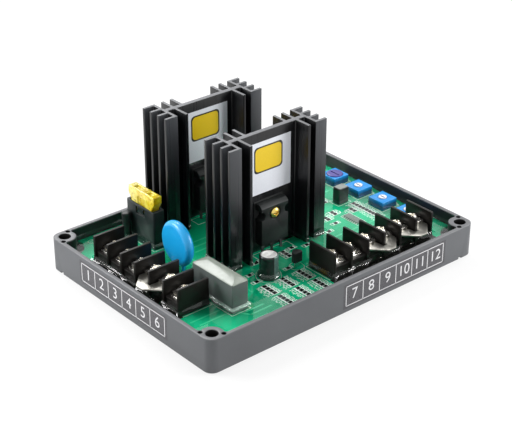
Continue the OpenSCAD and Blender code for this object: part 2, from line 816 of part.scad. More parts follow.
// forked plate that joins the ways on both sides of one barrier
module link_plate(j) {
    shoulder_y = -block_depth / 2 - link_nose + (link_w - link_tip_w) / 2;
    tip_y = -block_depth / 2 - link_nose;
    rear_y = clamp_l / 2 - link_rear_gap;
    color("silver")
    translate([barrier_x(j), 0, plate_top])
        linear_extrude(link_t)
            difference() {
                polygon([[-link_w / 2, rear_y], [-link_w / 2, shoulder_y], [-link_tip_w / 2, tip_y],
                    [link_tip_w / 2, tip_y], [link_w / 2, shoulder_y], [link_w / 2, rear_y]]);
                translate([-barrier_t / 2 - link_gap, -block_depth / 2 - link_gap])
                    square([barrier_t + 2 * link_gap, block_depth]);
                for (s = [-1, 1])
                    translate([s * pitch / 2, 0]) {
                        circle(d = screw_d + link_gap);
                        translate([-(screw_d + link_gap) / 2, 0])
                            square([screw_d + link_gap, block_depth]);
                    }
            }
}

module left_terminal_block() { place_left() terminal_block(); }
module right_terminal_block() { place_right() terminal_block(); }
module left_terminal_plates() { place_left() terminal_plates(); }
module right_terminal_plates() { place_right() terminal_plates(); }
module left_clamp_plates() { place_left() clamp_plates(left_linked); }
module right_clamp_plates() { place_right() clamp_plates(right_linked); }
module left_terminal_screws() { place_left() terminal_screws(left_linked); }
module right_terminal_screws() { place_right() terminal_screws(right_linked); }
module left_link() { place_left() link_plate(left_linked[1]); }
module right_inner_link() { place_right() link_plate(right_linked[1]); }
module right_outer_link() { place_right() link_plate(right_linked[3]); }

// Heatsinks with their power devices, on the web's front face towards -Y

// concave corners at the roots of the fins: x, y and the way in which each corner opens
root_corners = [for (s = [-1, 1]) each concat(
    [for (side = [-1, 1]) for (face = [-1, 1])
        [s * cross_fin_x + side * fin_t / 2, face * web_t / 2, side, face]],
    [for (side = [-1, 1]) [s * rear_fin_x + side * fin_t / 2, web_t / 2, side, 1]],
    [for (face = [-1, 1]) [s * (end_bar_x - fin_t / 2), face * web_t / 2, -s, face]],
    [for (k = [-1.5 : 1 : 1.5]) for (side = [-1, 1]) if (abs(k + side) < 2)
        [s * (end_bar_x + fin_t / 2), k * tooth_pitch + side * fin_t / 2, s, side]])];

// web, cross fins, rear fins, end bars and their teeth, grown by a margin on every side
module sink_bars(margin) {
    t = fin_t + 2 * margin;
    square([2 * end_bar_x, web_t + 2 * margin], center = true);
    for (s = [-1, 1]) {
        translate([s * cross_fin_x - t / 2, -cross_fin_reach - margin])
            square([t, cross_fin_reach + bar_half + 2 * margin]);
        translate([s * rear_fin_x - t / 2, 0])
            square([t, bar_half + margin]);
        translate([s * end_bar_x - t / 2, -bar_half - margin])
            square([t, 2 * bar_half + 2 * margin]);
        for (k = [-1.5 : 1 : 1.5])
            translate([s > 0 ? end_bar_x : -tooth_tip_x - margin, k * tooth_pitch - t / 2])
                square([tooth_tip_x - end_bar_x + margin, t]);
    }
}

// section of the extrusion, with fillets at the roots of its fins
module sink_section() {
    sink_bars(0);
    for (c = root_corners)
        translate([c[0], c[1]])
            difference() {
                translate([c[2] * (root_r - lap) / 2, c[3] * (root_r - lap) / 2])
                    square(root_r + lap, center = true);
                translate([c[2] * root_r, c[3] * root_r])
                    circle(root_r, $fn = 32);
            }
}

module heatsink(y) {
    color([0.07, 0.07, 0.08])
    difference() {
        translate([sink_x, y, sink_z])
            linear_extrude(sink_h)
                sink_section();
        for (s = [-1, 1])
            translate([sink_x + s * cross_fin_x, y, sink_z - cut])
                cylinder(d = sink_pin_d + 2 * resin_gap, h = sink_pin_depth + resin_gap + cut);
        translate([sink_x, y, device_hole_z])
            rotate([90, 0, 0])
                cylinder(d = device_screw_d + 2 * resin_gap, h = web_t + 2 * cut, center = true);
    }
}

module heatsink_pins() {
    color("silver")
    for (p = sink_pins_at)
        translate([p[0], p[1], 0]) {
            translate([0, 0, board_bottom - lead_tail])
                cylinder(d = p[2], h = sink_z + sink_pin_depth - board_bottom + lead_tail);
            translate([0, 0, board_top])
                cylinder(d = sink_shoulder_d, h = sink_lift);
        }
}

module power_device(y) {
    front = -device_back - device_t;
    color([0.12, 0.13, 0.13])
    translate([sink_x, y, 0])
        difference() {
            translate([0, 0, device_z])
                rotate([90, 0, 90])
                    linear_extrude(device_w, center = true)
                        polygon([[-device_back, 0], [-device_back, device_h],
                            [front + device_bevel, device_h], [front, device_h - device_bevel],
                            [front, 0]]);
            translate([0, 0, device_hole_z])
                rotate([90, 0, 0]) {
                    cylinder(d = device_hole_d, h = lead_depth + device_t);
                    translate([0, 0, -front - device_dish_depth])
                        cylinder(d = device_dish_d, h = device_dish_depth + cut);
                    for (s = [-1, 1])
                        translate([s * device_w / 2, 0, device_back - cut])
                            cylinder(r = device_notch_r, h = device_t + 2 * cut);
                }
        }
}

// three leads, wider next to the body
module device_leads(y) {
    shoulder_z = max(device_z - device_shoulder_l, resin_top + resin_gap);
    color("silver")
    for (k = [-1 : 1])
        translate([sink_x + k * device_lead_pitch, y - lead_depth, 0]) {
            block_at(0, 0, board_bottom - lead_tail,
                [device_lead_w, device_lead_t, device_z - board_bottom + lead_tail]);
            block_at(0, 0, shoulder_z, [device_shoulder_w, device_lead_t, device_z - shoulder_z]);
        }
}

module device_screw(y) {
    shank = device_t - device_dish_depth + pad_t + web_t + device_screw_end;
    color("goldenrod")
    translate([sink_x, y - device_back - device_t + device_dish_depth, device_hole_z])
        rotate([90, 0, 0]) {
            pan_head(device_screw_head_d, device_screw_head_h, 0.9);
            translate([0, 0, -shank])
                cylinder(d = device_screw_d, h = shank);
        }
}

module insulating_pad(y) {
    color("gray")
    difference() {
        translate([sink_x - device_w / 2 - pad_margin, y - device_back, device_z - pad_margin])
            cube([device_w + 2 * pad_margin, pad_t, device_h + 2 * pad_margin]);
        translate([sink_x, y - web_t / 2, device_hole_z])
            rotate([90, 0, 0])
                cylinder(d = device_hole_d, h = web_t, center = true);
    }
}

module sticker(y) {
    color("white")
    translate([sink_x - sticker_w / 2, y - web_t / 2 - sticker_t, sink_top - sticker_down - sticker_h])
        cube([sticker_w, sticker_t, sticker_h]);
}

module front_heatsink() { heatsink(front_sink_y); }
module rear_heatsink() { heatsink(rear_sink_y); }
module front_power_device() { power_device(front_sink_y); }
module rear_power_device() { power_device(rear_sink_y); }
module front_device_leads() { device_leads(front_sink_y); }
module rear_device_leads() { device_leads(rear_sink_y); }
module front_device_screw() { device_screw(front_sink_y); }
module rear_device_screw() { device_screw(rear_sink_y); }
module front_insulating_pad() { insulating_pad(front_sink_y); }
module rear_insulating_pad() { insulating_pad(rear_sink_y); }
module front_sticker() { sticker(front_sink_y); }
module rear_sticker() { sticker(rear_sink_y); }

// Blade fuse in its upright holder

module fuse_holder() {
    seat_t = fuse_t + 2 * fuse_gap;
    color([0.16, 0.17, 0.17])
    difference() {
        translate([holder_x, holder_y, board_top])
            linear_extrude(holder_top - board_top)
                chamfered_square(holder_w, holder_l, holder_chamfer);
        block_at(holder_x, holder_y, fuse_z, [seat_t, holder_opening, holder_top]);
        for (s = [-1, 1]) {
            // chamber of one contact, open below for its tail
            block_at(holder_x, holder_y + s * blade_pitch / 2, clip_bottom - fuse_gap,
                [clip_t + 4 * fuse_gap, contact_w + 2 * fuse_gap, holder_top]);
            translate([holder_x, holder_y + s * blade_pitch / 2, board_top - cut])
                cylinder(d = tail_d + 2 * lead_gap, h = holder_top - board_top);
        }
        holder_slot();
    }
}

// three-sided slot that leaves a tongue in the holder's outer wall
module holder_slot() {
    depth = holder_wall + fuse_gap;
    translate([holder_x - holder_w / 2, holder_y, holder_top - holder_slot_down - holder_slot_h])
        difference() {
            block_at(0, 0, 0, [2 * depth, holder_slot_pitch + holder_slot_w, holder_slot_h]);
            block_at(0, 0, holder_slot_w,
                [2 * depth + cut, holder_slot_pitch - holder_slot_w, holder_slot_h]);
        }
}

module fuse_contacts() {
    color("silver")
    for (s = [-1, 1])
        translate([holder_x, holder_y + s * blade_pitch / 2, 0]) {
            difference() {
                block_at(0, 0, clip_bottom, [clip_t, contact_w, clip_top - clip_bottom]);
                block_at(0, 0, clip_bottom + leaf_t,
                    [blade_t + 2 * contact_gap, contact_w + cut, holder_top]);
            }
            translate([0, 0, board_bottom - lead_tail])
                cylinder(d = tail_d, h = clip_bottom - board_bottom + lead_tail);
        }
}

// the body widens from its foot to its head
module fuse_body() {
    foot = fuse_foot_l / 2;
    head = fuse_l / 2;
    head_z = fuse_top - fuse_head_h;
    color([0.95, 0.85, 0.2], 0.8)
    difference() {
        translate([holder_x - fuse_t / 2, holder_y, 0])
            rotate([90, 0, 90])
                linear_extrude(fuse_t)
                    polygon([[-foot, fuse_z], [foot, fuse_z], [foot, holder_top], [head, head_z],
                        [head, fuse_top], [-head, fuse_top], [-head, head_z], [-foot, holder_top]]);
        // test openings in the head
        for (s = [-1, 1])
            block_at(holder_x, holder_y + s * blade_pitch / 2, fuse_top - test_depth,
                [fuse_t / 2, blade_w - 1, test_depth + cut]);
        // windows in both faces, between the blades
        for (s = [-1, 1])
            block_at(holder_x + s * fuse_t / 2, holder_y, fuse_z - cut,
                [2 * fuse_window, blade_pitch - blade_w, head_z - fuse_z + cut]);
        // slots in which the blades are moulded
        for (s = [-1, 1])
            block_at(holder_x, holder_y + s * blade_pitch / 2, fuse_z - cut,
                [blade_t, blade_w, fuse_seat + cut]);
    }
}

module fuse_blades() {
    color("silver")
    for (s = [-1, 1])
        block_at(holder_x, holder_y + s * blade_pitch / 2, fuse_z - blade_l,
            [blade_t, blade_w, blade_l + fuse_seat]);
}

// Varistor and capacitors

module varistor() {
    color("dodgerblue")
    union() {
        translate([varistor_x, varistor_y, varistor_z])
            rotate([0, 90, varistor_turn])
                rotate_extrude() {
                    translate([0, -varistor_t / 2])
                        square([varistor_d / 2 - varistor_t / 2, varistor_t]);
                    translate([varistor_d / 2 - varistor_t / 2, 0])
                        intersection() {
                            circle(d = varistor_t);
                            translate([0, -varistor_t / 2])
                                square(varistor_t);
                        }
                }
        for (p = varistor_leads_at)
            translate([p[0], p[1], coat_run_z])
                cylinder(d1 = coat_run_d, d2 = coat_root_d, h = varistor_z - varistor_d / 4 - coat_run_z);
    }
}

module varistor_leads() {
    color("silver")
    lead_set(varistor_leads_at, coat_run_z);
}

module film_capacitor_case() {
    color("slategray")
    difference() {
        block_at(film_x, film_y, board_top, [film_t, film_l, film_top - board_top]);
        block_at(film_x, film_y, board_top + film_wall,
            [film_t - 2 * film_wall, film_l - 2 * film_wall, film_top]);
        for (p = film_leads)
            translate([p[0], p[1], board_top - cut])
                cylinder(d = p[2] + 2 * resin_gap, h = film_wall + 2 * cut);
    }
}

module film_capacitor_fill() {
    color("lightgray")
    block_at(film_x, film_y, board_top + film_wall,
        [film_t - 2 * film_wall, film_l - 2 * film_wall, film_top - film_recess - film_wall - board_top]);
}

module film_capacitor_leads() {
    color("silver")
    lead_set(film_leads, board_top + film_wall);
}

// drawn can with a rolled upper edge and a scored vent
module electrolytic_can() {
    color("whitesmoke")
    translate([can_x, can_y, 0])
        difference() {
            rotate_extrude()
                rolled_side(can_z + bung_h, can_top, can_d / 2, can_edge_r);
            translate([0, 0, can_top - can_dish])
                cylinder(d = vent_d, h = can_dish + cut);
            for (turn = [0, 90])
                rotate(turn)
                    block_at(0, 0, can_top - can_dish - score_depth,
                        [vent_d, score_w, can_dish + score_depth + cut]);
        }
}

// shrunk sleeve that follows the can over its rolled edge
module electrolytic_sleeve() {
    skin = sleeve_gap + sleeve_t;
    color([0.1, 0.1, 0.11])
    translate([can_x, can_y, 0])
        rotate_extrude()
            difference() {
                rolled_side(can_z, can_top + skin, can_d / 2 + skin, can_edge_r + skin);
                rolled_side(can_z - cut, can_top + sleeve_gap,
                    can_d / 2 + sleeve_gap, can_edge_r + sleeve_gap);
                translate([0, can_top - can_edge_r])
                    square([can_d / 2 - sleeve_lip, 2 * can_edge_r]);
            }
}

module electrolytic_bung() {
    color([0.15, 0.15, 0.15])
    translate([can_x, can_y, 0]) {
        translate([0, 0, can_z])
            cylinder(d = can_d, h = bung_h);
        // stand-off rib below the bung
        translate([0, 0, board_top])
            cylinder(d = can_d * 0.26, h = can_z - board_top);
    }
}

module electrolytic_leads() {
    color("silver")
    lead_set(can_leads, can_z);
}

module box_capacitor() {
    color([0.15, 0.16, 0.15])
    translate([box_x, box_y, board_top])
        rotate([90, 0, 0])
            linear_extrude(box_t, center = true) {
                translate([-box_w / 2, 0])
                    square([box_w, box_top - board_top - box_edge_r]);
                translate([-box_w / 2 + box_edge_r, 0])
                    square([box_w - 2 * box_edge_r, box_top - board_top]);
                for (s = [-1, 1])
                    translate([s * (box_w / 2 - box_edge_r), box_top - board_top - box_edge_r])
                        circle(box_edge_r);
            }
}

module box_capacitor_leads() {
    color("silver")
    lead_set(box_leads, board_top);
}

module choke_coil() {
    color([0.13, 0.14, 0.14])
    translate([choke_x, choke_y, 0])
        rotate_extrude()
            rolled_side(board_top, choke_top, choke_r, choke_edge_r);
}

module choke_leads() {
    color("silver")
    lead_set(choke_leads_at, board_top);
}

// Trimmers: square housings in which a slotted rotor turns about the upright

module trimmer_housing(n) {
    color("royalblue")
    translate([trimmer_x, trimmer_place_y(n), 0])
        difference() {
            block_at(0, 0, board_top, [trimmer_w, trimmer_w, trimmer_top - board_top]);
            translate([0, 0, trimmer_top + rotor_proud - rotor_t - rotor_gap])
                cylinder(d = rotor_ds[n - 1] + 2 * rotor_gap, h = rotor_t + cut);
            translate([0, 0, trimmer_top + rotor_proud - rotor_t - stem_l - rotor_gap])
                cylinder(d = stem_d + 2 * rotor_gap, h = stem_l + rotor_t);
        }
}

module trimmer_rotor(n) {
    color(n == 1 ? "rebeccapurple" : "white")
    translate([trimmer_x, trimmer_place_y(n), trimmer_top + rotor_proud]) {
        difference() {
            translate([0, 0, -rotor_t])
                cylinder(d = rotor_ds[n - 1], h = rotor_t);
            block_at(0, 0, -slot_depth, [slot_w, rotor_ds[n - 1] * slot_share, slot_depth + cut]);
        }
        translate([0, 0, -rotor_t - stem_l])
            cylinder(d = stem_d, h = stem_l);
    }
}

module trimmer_pins() {
    color("silver")
    lead_set(trimmer_pins_at, board_top);
}

module trimmer_1_housing() { trimmer_housing(1); }
module trimmer_2_housing() { trimmer_housing(2); }
module trimmer_3_housing() { trimmer_housing(3); }
module trimmer_4_housing() { trimmer_housing(4); }
module trimmer_1_rotor() { trimmer_rotor(1); }
module trimmer_2_rotor() { trimmer_rotor(2); }
module trimmer_3_rotor() { trimmer_rotor(3); }
module trimmer_4_rotor() { trimmer_rotor(4); }

// Small parts on the board

module small_transistor() {
    color([0.12, 0.12, 0.12])
    translate([transistor_x, transistor_y, transistor_z])
        difference() {
            cylinder(d = transistor_d, h = transistor_h);
            translate([-transistor_d, -transistor_d - transistor_flat, -cut])
                cube([2 * transistor_d, transistor_d, transistor_h + 2 * cut]);
        }
}

module small_transistor_leads() {
    color("silver")
    lead_set(transistor_leads_at, transistor_z);
}

module ic_body() {
    color([0.3, 0.3, 0.3])
    block_at(ic_x, ic_y, board_top + ic_stand, [ic_w, ic_l, ic_h - ic_stand]);
}

module ic_legs() {
    leg_z = board_top + ic_h / 2;
    color("silver")
    for (s = [-1, 1])
        for (k = [0 : ic_legs_per_side - 1])
            translate([ic_x + s * ic_w / 2, ic_y + (k - (ic_legs_per_side - 1) / 2) * ic_pitch, 0])
                mirror([s < 0 ? 1 : 0, 0, 0]) {
                    translate([0, -ic_leg_w / 2, board_top])
                        translate([ic_foot * 0.3, 0, 0])
                            cube([ic_foot * 0.7, ic_leg_w, ic_leg_t]);
                    translate([ic_foot * 0.3, -ic_leg_w / 2, board_top])
                        cube([ic_leg_t, ic_leg_w, leg_z - board_top]);
                    translate([0, -ic_leg_w / 2, leg_z - ic_leg_t])
                        cube([ic_foot * 0.3 + ic_leg_t, ic_leg_w, ic_leg_t]);
                }
}

module chip_resistors() {
    color([0.2, 0.2, 0.2])
    for (p = chip_places)
        translate([p[0], p[1], 0])
            rotate(p[2])
                block_at(0, 0, board_top, [chip_l - 2 * chip_cap, chip_w, chip_h]);
}

module chip_end_caps() {
    color("silver")
    for (p = chip_places)
        translate([p[0], p[1], 0])
            rotate(p[2])
                for (s = [-1, 1])
                    block_at(s * (chip_l - chip_cap) / 2, 0, board_top, [chip_cap, chip_w, chip_h]);
}

case_tray();
circuit_board();
potting_resin();
left_terminal_block();
right_terminal_block();
left_terminal_plates();
right_terminal_plates();
left_clamp_plates();
right_clamp_plates();
left_terminal_screws();
right_terminal_screws();
left_link();
right_inner_link();
right_outer_link();
front_heatsink();
rear_heatsink();
heatsink_pins();
front_power_device();
rear_power_device();
front_device_leads();
rear_device_leads();
front_device_screw();
rear_device_screw();
front_insulating_pad();
rear_insulating_pad();
front_sticker();
rear_sticker();
fuse_holder();
fuse_contacts();
fuse_body();
fuse_blades();
varistor();
varistor_leads();
film_capacitor_case();
film_capacitor_fill();
film_capacitor_leads();
electrolytic_can();
electrolytic_sleeve();
electrolytic_bung();
electrolytic_leads();
box_capacitor();
box_capacitor_leads();
choke_coil();
choke_leads();
trimmer_1_housing();
trimmer_2_housing();
trimmer_3_housing();
trimmer_4_housing();
trimmer_1_rotor();
trimmer_2_rotor();
trimmer_3_rotor();
trimmer_4_rotor();
trimmer_pins();
small_transistor();
small_transistor_leads();
ic_body();
ic_legs();
chip_resistors();
chip_end_caps();
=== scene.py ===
# %% [markdown]
# # A generator's voltage regulator, dressed for the studio
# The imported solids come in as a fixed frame: a shallow tray, a potted board, two finned heatsinks, two rows
# of screw terminals and the parts between them. This lesson gives each of them its finish, and adds what is
# too fine for solids: the skin of the resin, the print on the board and the numbers on the tray.

# %% Load the frame
import math

import bmesh
import bpy
import numpy as np
from mathutils import Matrix, Vector


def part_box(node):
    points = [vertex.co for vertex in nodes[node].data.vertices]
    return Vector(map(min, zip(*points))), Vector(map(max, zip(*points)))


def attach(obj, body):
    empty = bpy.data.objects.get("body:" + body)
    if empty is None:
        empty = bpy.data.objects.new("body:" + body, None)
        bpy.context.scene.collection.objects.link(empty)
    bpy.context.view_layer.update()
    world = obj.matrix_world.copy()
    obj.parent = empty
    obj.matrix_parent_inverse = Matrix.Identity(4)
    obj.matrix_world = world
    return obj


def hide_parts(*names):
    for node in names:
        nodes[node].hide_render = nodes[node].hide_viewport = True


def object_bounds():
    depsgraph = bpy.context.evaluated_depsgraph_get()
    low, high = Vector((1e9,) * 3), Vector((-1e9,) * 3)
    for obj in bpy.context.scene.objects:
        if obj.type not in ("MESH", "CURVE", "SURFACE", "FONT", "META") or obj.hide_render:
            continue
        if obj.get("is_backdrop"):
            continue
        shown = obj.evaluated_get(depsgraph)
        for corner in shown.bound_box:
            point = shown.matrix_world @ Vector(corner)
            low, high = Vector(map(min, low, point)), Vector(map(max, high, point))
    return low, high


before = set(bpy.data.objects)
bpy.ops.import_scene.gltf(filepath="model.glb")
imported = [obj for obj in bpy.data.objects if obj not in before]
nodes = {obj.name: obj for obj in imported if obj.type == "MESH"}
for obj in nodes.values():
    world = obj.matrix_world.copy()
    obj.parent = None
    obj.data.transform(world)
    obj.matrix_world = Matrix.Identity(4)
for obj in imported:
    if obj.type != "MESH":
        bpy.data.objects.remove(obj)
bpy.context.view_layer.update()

MM = 0.001
scene = bpy.context.scene
scene.view_settings.view_transform = "Standard"

# %% [markdown]
# ## Camera
# A product photo taken from some distance flattens the object a little. The camera could be set by eye, but
# its place and lens come from matching the tray's corners, the terminal rows and the heatsinks' tops, so
# the picture can be laid over the photo. The lens is long, because the upright edges run nearly parallel.

# %% Camera
EYE = Vector((-366.3, -425.2, 319.95)) * MM
LOOK_BACK = Vector((-0.5730, -0.6740, 0.4663))
FOCAL_LENGTH, SENSOR_WIDTH = 99.17, 36

lens = bpy.data.cameras.new("studio_camera")
lens.sensor_fit = "HORIZONTAL"
lens.sensor_width = SENSOR_WIDTH
lens.lens = FOCAL_LENGTH
lens.clip_start = 0.01
camera = bpy.data.objects.new("studio_camera", lens)
camera.location = EYE
camera.rotation_euler = (-LOOK_BACK).to_track_quat("-Z", "Y").to_euler()
scene.collection.objects.link(camera)
scene.camera = camera
print("camera", [round(v, 4) for v in camera.location], "lens", FOCAL_LENGTH)

# %% [markdown]
# ## Light, floor and background
# The object stands in a white light tent. A white world alone would light it too evenly, so here it is
# white where the camera, a mirror-like surface or the resin looks at it, and a softer grey where it only
# lights the object. Soft lamps at the left and at the front right make the tray's walls brighter towards
# their far ends. Two more, behind and at the right, stand where the resin's curved rims mirror them to the
# camera as glints. The floor glows white too, mixed with enough real shading for a soft shadow.


# %% Helpers for shader trees
def feed(tree, node, inputs):
    """Links sockets to a node's inputs and sets plain values on the others, by name or by number."""
    for name, value in inputs.items():
        if isinstance(value, bpy.types.NodeSocket):
            tree.links.new(value, node.inputs[name])
        else:
            node.inputs[name].default_value = value


def put(tree, kind, inputs=None, **settings):
    """Adds one node, sets its properties, then feeds its inputs."""
    node = tree.nodes.new(kind)
    for name, value in settings.items():
        setattr(node, name, value)
    feed(tree, node, inputs or {})
    return node


def maths(tree, operation, *values):
    """Adds a Math node on the given values or sockets and returns its output."""
    return put(tree, "ShaderNodeMath", dict(enumerate(values)), operation=operation).outputs[0]


def looked_at(tree):
    """Mask of the rays that come from the camera, from a reflection or through glass."""
    rays = put(tree, "ShaderNodeLightPath").outputs
    bent = maths(tree, "MAXIMUM", rays["Is Glossy Ray"], rays["Is Transmission Ray"])
    return maths(tree, "MAXIMUM", rays["Is Camera Ray"], bent)


# %% World
WHITE = (1, 1, 1, 1)
SKY_LIGHT = 0.5

world = bpy.data.worlds.new("light_tent")
scene.world = world
world.use_nodes = True
tree = world.node_tree
tree.nodes.clear()
lighting = put(tree, "ShaderNodeBackground", {"Color": WHITE, "Strength": SKY_LIGHT}).outputs[0]
backdrop = put(tree, "ShaderNodeBackground", {"Color": WHITE, "Strength": 1.0}).outputs[0]
sky = put(tree, "ShaderNodeMixShader", {0: looked_at(tree), 1: lighting, 2: backdrop}).outputs[0]
put(tree, "ShaderNodeOutputWorld", {"Surface": sky})
print("world lights at", SKY_LIGHT)

# %% Lamps
AIM = Vector((0, 0, 0.02))


def soft_lamp(name, place, size, watts):
    """A square area lamp at a place in metres, facing the middle of the object."""
    lamp = bpy.data.lights.new(name, "AREA")
    lamp.size = size
    lamp.energy = watts
    holder = bpy.data.objects.new(name, lamp)
    holder.location = place
    holder.rotation_euler = (AIM - Vector(place)).to_track_quat("-Z", "Y").to_euler()
    scene.collection.objects.link(holder)


soft_lamp("left_lamp", place=(-0.26, 0.22, 0.2), size=0.2, watts=1.1)
soft_lamp("front_lamp", place=(0.32, -0.28, 0.2), size=0.2, watts=1.4)
soft_lamp("rear_lamp", place=(0.16, 0.57, 0.62), size=0.34, watts=3.6)
soft_lamp("right_lamp", place=(0.48, 0.07, 0.67), size=0.18, watts=1.2)
print("lamps:", [lamp.name for lamp in bpy.data.lights])

# %% Floor
FLOOR_HALF, FLOOR_DROP = 20.0, 0.0002
FLOOR_TONE, FLOOR_GLOW = (0.94, 0.94, 0.94, 1), 0.75

floor_paint = bpy.data.materials.new("white_floor")
floor_paint.use_nodes = True
tree = floor_paint.node_tree
tree.nodes.clear()
shade = put(tree, "ShaderNodeBsdfDiffuse", {"Color": FLOOR_TONE}).outputs[0]
white = put(tree, "ShaderNodeEmission", {"Color": WHITE, "Strength": 1.0}).outputs[0]
glow = maths(tree, "MULTIPLY", looked_at(tree), FLOOR_GLOW)
paint = put(tree, "ShaderNodeMixShader", {0: glow, 1: shade, 2: white}).outputs[0]
put(tree, "ShaderNodeOutputMaterial", {"Surface": paint})

corners = [(FLOOR_HALF * x, FLOOR_HALF * y, 0) for x, y in ((-1, -1), (1, -1), (1, 1), (-1, 1))]
floor_mesh = bpy.data.meshes.new("floor")
floor_mesh.from_pydata(corners, [], [(0, 1, 2, 3)])
floor_mesh.materials.append(floor_paint)
floor = bpy.data.objects.new("floor", floor_mesh)
floor.location.z = -FLOOR_DROP
scene.collection.objects.link(floor)
floor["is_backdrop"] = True
print("floor", 2 * FLOOR_HALF, "m wide")

# %% [markdown]
# ## Effects that several finishes share
# A moulded plastic is never one flat colour: its tone drifts slowly, and a fine grain breaks up the shine.
# A drawn or sawn metal has fine parallel lines. A part that was handled has short scuffs. Each finish could
# carry its own copy, but as a node group with named inputs an effect is built once, and each finish only
# sets its values.


# %% Helpers for node groups
def noise(tree, place, scale, detail, roughness=0.5):
    """A noise that runs from 0 to 1, with so many bumps per metre."""
    inputs = {"Vector": place, "Scale": scale, "Detail": detail, "Roughness": roughness}
    return put(tree, "ShaderNodeTexNoise", inputs).outputs[0]


def ramp(tree, value, start, end, top=1.0):
    """Runs from 0 where a value is start to top where it is end, and stays there beyond them."""
    inputs = {"Value": value, "From Min": start, "From Max": end, "To Max": top}
    return put(tree, "ShaderNodeMapRange", inputs).outputs[0]


def vector_maths(tree, operation, *values):
    """Adds a Vector Math node on the given vectors and returns its output."""
    return put(tree, "ShaderNodeVectorMath", dict(enumerate(values)), operation=operation).outputs[0]


FLOAT, COLOR, VECTOR = "NodeSocketFloat", "NodeSocketColor", "NodeSocketVector"


def new_group(name, inputs, outputs):
    """Starts a group of (name, type, default) inputs and (name, type) outputs; gives it and its inputs."""
    group = bpy.data.node_groups.new(name, "ShaderNodeTree")
    for label, kind, default in inputs:
        socket = group.interface.new_socket(name=label, in_out="INPUT", socket_type=kind)
        if default is not None:
            socket.default_value = default
    for label, kind in outputs:
        group.interface.new_socket(name=label, in_out="OUTPUT", socket_type=kind)
    return group, group.nodes.new("NodeGroupInput").outputs


# %% Moulded skin
SLOW_SCALE = 55.0

moulded_skin, given = new_group(
    "moulded_skin",
    [("Vector", VECTOR, None), ("Color", COLOR, (0.5, 0.5, 0.5, 1)), ("Drift", FLOAT, 0.2),
     ("Roughness", FLOAT, 0.4), ("Roughness Spread", FLOAT, 0.15), ("Grain Scale", FLOAT, 1500.0)],
    [("Color", COLOR), ("Roughness", FLOAT), ("Height", FLOAT)])
slow = maths(moulded_skin, "SUBTRACT", noise(moulded_skin, given["Vector"], SLOW_SCALE, 4.0), 0.5)
fine = noise(moulded_skin, given["Vector"], given["Grain Scale"], 2.0)
drift = maths(moulded_skin, "MULTIPLY_ADD", slow, given["Drift"], 1.0)
toned = put(moulded_skin, "ShaderNodeHueSaturation", {"Value": drift, "Color": given["Color"]}).outputs[0]
rough = maths(moulded_skin, "MULTIPLY_ADD", slow, given["Roughness Spread"], given["Roughness"])
put(moulded_skin, "NodeGroupOutput", {"Color": toned, "Roughness": rough, "Height": fine})
print("group", moulded_skin.name)

# %% Drawn lines and scuffs
SCUFF_TURNS, SCUFF_STRETCH = (0.6, 2.1), (0.12, 1.0, 0.6)
SCUFF_START, SCUFF_FULL = 0.6, 0.7

drawn_lines, given = new_group(
    "drawn_lines", [("Vector", VECTOR, None), ("Across", VECTOR, (1.0, 1.0, 1.0))],
    [("Line", FLOAT), ("Height", FLOAT)])
stretched = vector_maths(drawn_lines, "MULTIPLY", given["Vector"], given["Across"])
grooves = noise(drawn_lines, stretched, 1.0, 3.0, 0.65)
depth = maths(drawn_lines, "POWER", grooves, 2.0)
put(drawn_lines, "NodeGroupOutput", {"Line": grooves, "Height": depth})

scuffs, given = new_group(
    "scuffs", [("Vector", VECTOR, None), ("Scale", FLOAT, 400.0), ("Amount", FLOAT, 0.5)],
    [("Mask", FLOAT)])
marks = []
for turn in SCUFF_TURNS:
    turned = put(scuffs, "ShaderNodeVectorRotate", {"Vector": given["Vector"], "Angle": turn},
                 rotation_type="Z_AXIS").outputs[0]
    long = vector_maths(scuffs, "MULTIPLY", turned, SCUFF_STRETCH)
    marks.append(ramp(scuffs, noise(scuffs, long, given["Scale"], 3.0), SCUFF_START, SCUFF_FULL))
both = maths(scuffs, "MAXIMUM", *marks)
put(scuffs, "NodeGroupOutput", {"Mask": maths(scuffs, "MULTIPLY", both, given["Amount"])})
print("groups", drawn_lines.name, scuffs.name)

# %% [markdown]
# ## Plastics
# The terminal blocks, the holders and the moulded parts differ in colour, gloss and grain. Each could be
# drawn by hand, but one function builds them all from the shared skin. The grain is a very shallow bump,
# less than a hair deep. The box capacitor's top gets a painted highlight: a paler, cloudy tone that a mask
# on the height mixes in just below the upper face.


# %% How a plastic is made
def rgba(red, green, blue):
    """A colour as the picture shows it, 0 to 255, turned into the linear values that shaders use."""
    shown = np.array([red, green, blue]) / 255
    linear = np.where(shown <= 0.04045, shown / 12.92, ((shown + 0.055) / 1.055) ** 2.4)
    return (*linear.round(4).tolist(), 1.0)


finishes = {}


def start_material(name):
    """Starts a finish, known by its name; gives its tree, Principled shader and Object coordinates."""
    finishes[name] = bpy.data.materials.new(name)
    finishes[name].use_nodes = True
    tree = finishes[name].node_tree
    print("finish", name)
    return tree, tree.nodes["Principled BSDF"], put(tree, "ShaderNodeTexCoord").outputs["Object"]


def bump(tree, shader, height, depth):
    """Turns a height that runs from 0 to 1 into a bump of a depth in millimetres."""
    node = put(tree, "ShaderNodeBump", {"Strength": 1.0, "Distance": depth * MM, "Height": height})
    tree.links.new(node.outputs[0], shader.inputs["Normal"])


